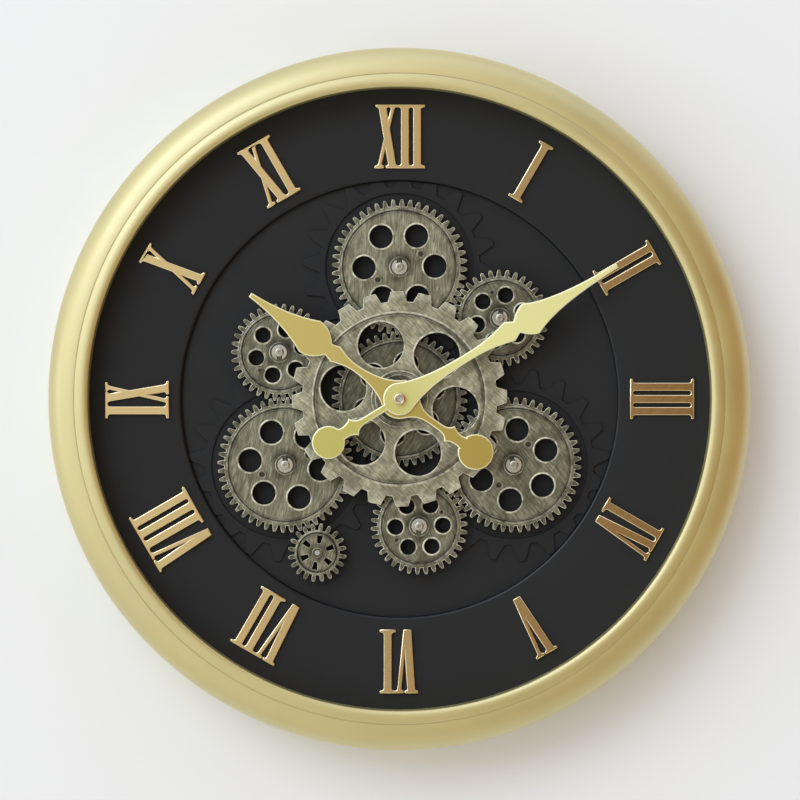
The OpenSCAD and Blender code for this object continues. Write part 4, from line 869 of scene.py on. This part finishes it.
# %% Finishes of the hardware
def metal(name, dark, pale, rough, scale):
    """Plain metal with fine streaks of tone and bright edges."""
    material, tree, shader = new_finish(name)
    where = object_place(tree)
    streaks = effect(tree, streak_group, {"Vector": where, "Across": scale, "Along": scale / 6})
    wear_and_sheen = wear_and_sheen_mask(tree, where, scale=200.0, least=0.5)
    bright = tuple(min(1.0, 1.2 * c) for c in pale)
    brushed = between(tree, streaks, dark, pale)
    set_inputs(tree, shader, {"Base Color": between(tree, wear_and_sheen, brushed, bright),
                              "Roughness": between(tree, streaks, rough, rough + 0.12), "Metallic": 1.0})
    bumpy(tree, shader, streaks, 0.004 * MM)
    return material


def moulded(name, dark, pale, rough, scale, depth):
    """Moulded plastic or rubber with a fine texture."""
    material, tree, shader = new_finish(name)
    where = object_place(tree)
    cloud = effect(tree, patina_group, {"Vector": where, "Scale": scale / 20})
    set_inputs(tree, shader, {"Base Color": between(tree, cloud, dark, pale),
                              "Roughness": between(tree, cloud, rough, rough + 0.08)})
    bumpy(tree, shader, effect(tree, grain_group, {"Vector": where, "Scale": scale}), depth * MM)
    return material


steel = metal("zinc_steel", (0.50, 0.50, 0.48), (0.66, 0.66, 0.64), rough=0.26, scale=900.0)
aged_nickel = metal("aged_nickel", (0.46, 0.46, 0.40), (0.66, 0.66, 0.58), rough=0.26, scale=900.0)
brass = metal("turned_brass", (0.60, 0.46, 0.21), (0.72, 0.57, 0.28), rough=0.24, scale=1200.0)
copper_wire = metal("enamelled_copper", (0.42, 0.17, 0.07), (0.56, 0.25, 0.11), rough=0.3, scale=3000.0)
case_plastic = moulded("case_plastic", (0.016, 0.016, 0.017), (0.022, 0.022, 0.024),
                       rough=0.48, scale=1800.0, depth=0.03)
rubber = moulded("bumper_rubber", (0.014, 0.014, 0.014), (0.022, 0.022, 0.022),
                 rough=0.8, scale=900.0, depth=0.04)
circuit = moulded("circuit_board_mask", (0.02, 0.09, 0.04), (0.03, 0.13, 0.06),
                  rough=0.35, scale=600.0, depth=0.01)
cell_sleeve = moulded("cell_sleeve", (0.30, 0.22, 0.09), (0.34, 0.25, 0.11),
                      rough=0.3, scale=500.0, depth=0.004)
print("hardware finishes")

# %% Posts, turned with a rounded and countersunk end
SHANK_R, FLANGE_R, JOURNAL_R, CLIP_SEAT_R = 2.5, 6, 3, 2.3
SHANK_END, FLANGE_TOP, CLIP_FOOT, CLIP_TOP, POST_END, POST_ROUND = 24.2, 37.35, 43.65, 44.45, 45.65, 0.9
SHANK = ((SHANK_R, SHANK_END), (SHANK_R, FLOOR), (FLANGE_R, FLOOR), (FLANGE_R, FLANGE_TOP))
JOURNAL = ((JOURNAL_R, FLANGE_TOP), (JOURNAL_R, CLIP_FOOT), (CLIP_SEAT_R, CLIP_FOOT),
           (CLIP_SEAT_R, CLIP_TOP), (JOURNAL_R, CLIP_TOP), (JOURNAL_R, POST_END - POST_ROUND))
COUNTERSINK = ((1.75, 0), (1.5, 0.35), (1.0, 0.35), (0.45, 1.8), (0, 1.8))
POST_STEPS = 32

bm = bmesh.new()
drawn = bm.verts.new(at_level(0, SHANK_END))
for radius, level in SHANK + JOURNAL:
    drawn = line_to(bm, drawn, radius, level)
drawn = arc_to(bm, drawn, (JOURNAL_R - POST_ROUND, POST_END - POST_ROUND), 90, steps=6)
for radius, depth in COUNTERSINK:
    drawn = line_to(bm, drawn, radius, POST_END - depth)
turn_section(bm, clock_axis, POST_STEPS)
one_post = bm.verts[:] + bm.edges[:] + bm.faces[:]
for body in ("large_left", "large_right", "medium_top", "medium_left", "medium_bottom"):
    copied = bmesh.ops.duplicate(bm, geom=one_post)
    bmesh.ops.translate(bm, vec=axis_of[body] - clock_axis, verts=verts_of(copied["geom"]))
bmesh.ops.translate(bm, vec=axis_of["large_top"] - clock_axis, verts=verts_of(one_post))
smooth_by_angle(stands_for(finish_mesh("posts", bm, aged_nickel), "gear_posts"))
print("6 posts")

# %% Hardware pieces with softened edges
softened_pieces = ((aged_nickel, 0.15, ("post_clips",)),
                   (steel, 0.15, ("post_nuts", "dial_clips", "dial_clip_screws", "hanger_plate",
                                  "hanger_screws", "drive_screws")),
                   (brass, 0.12, ("centre_bush", "stem_washer", "stem_nut", "stem")),
                   (case_plastic, 0.2, ("movement_case", "movement_cover", "drive_case", "drive_cover",
                                        "setting_knob")),
                   (rubber, 0.4, ("wall_bumpers",)))
for material, edge, group in softened_pieces:
    for node in group:
        softened(node, material, edge)
print(sum(len(group) for *_, group in softened_pieces), "softened pieces")

# %% Pieces that keep their CAD shape
painted_pieces = ((dial_black, ("back_panel",)),
                  (steel, ("drive_shaft", "drive_motor", "drive_contacts", "movement_contacts",
                           "minute_shaft")),
                  (brass, ("hour_tube", "minute_wheel")),
                  (cell_sleeve, ("movement_cell", "drive_cells")),
                  (circuit, ("circuit_board",)),
                  (copper_wire, ("coil",)))
for material, group in painted_pieces:
    for node in group:
        paint(node, material)
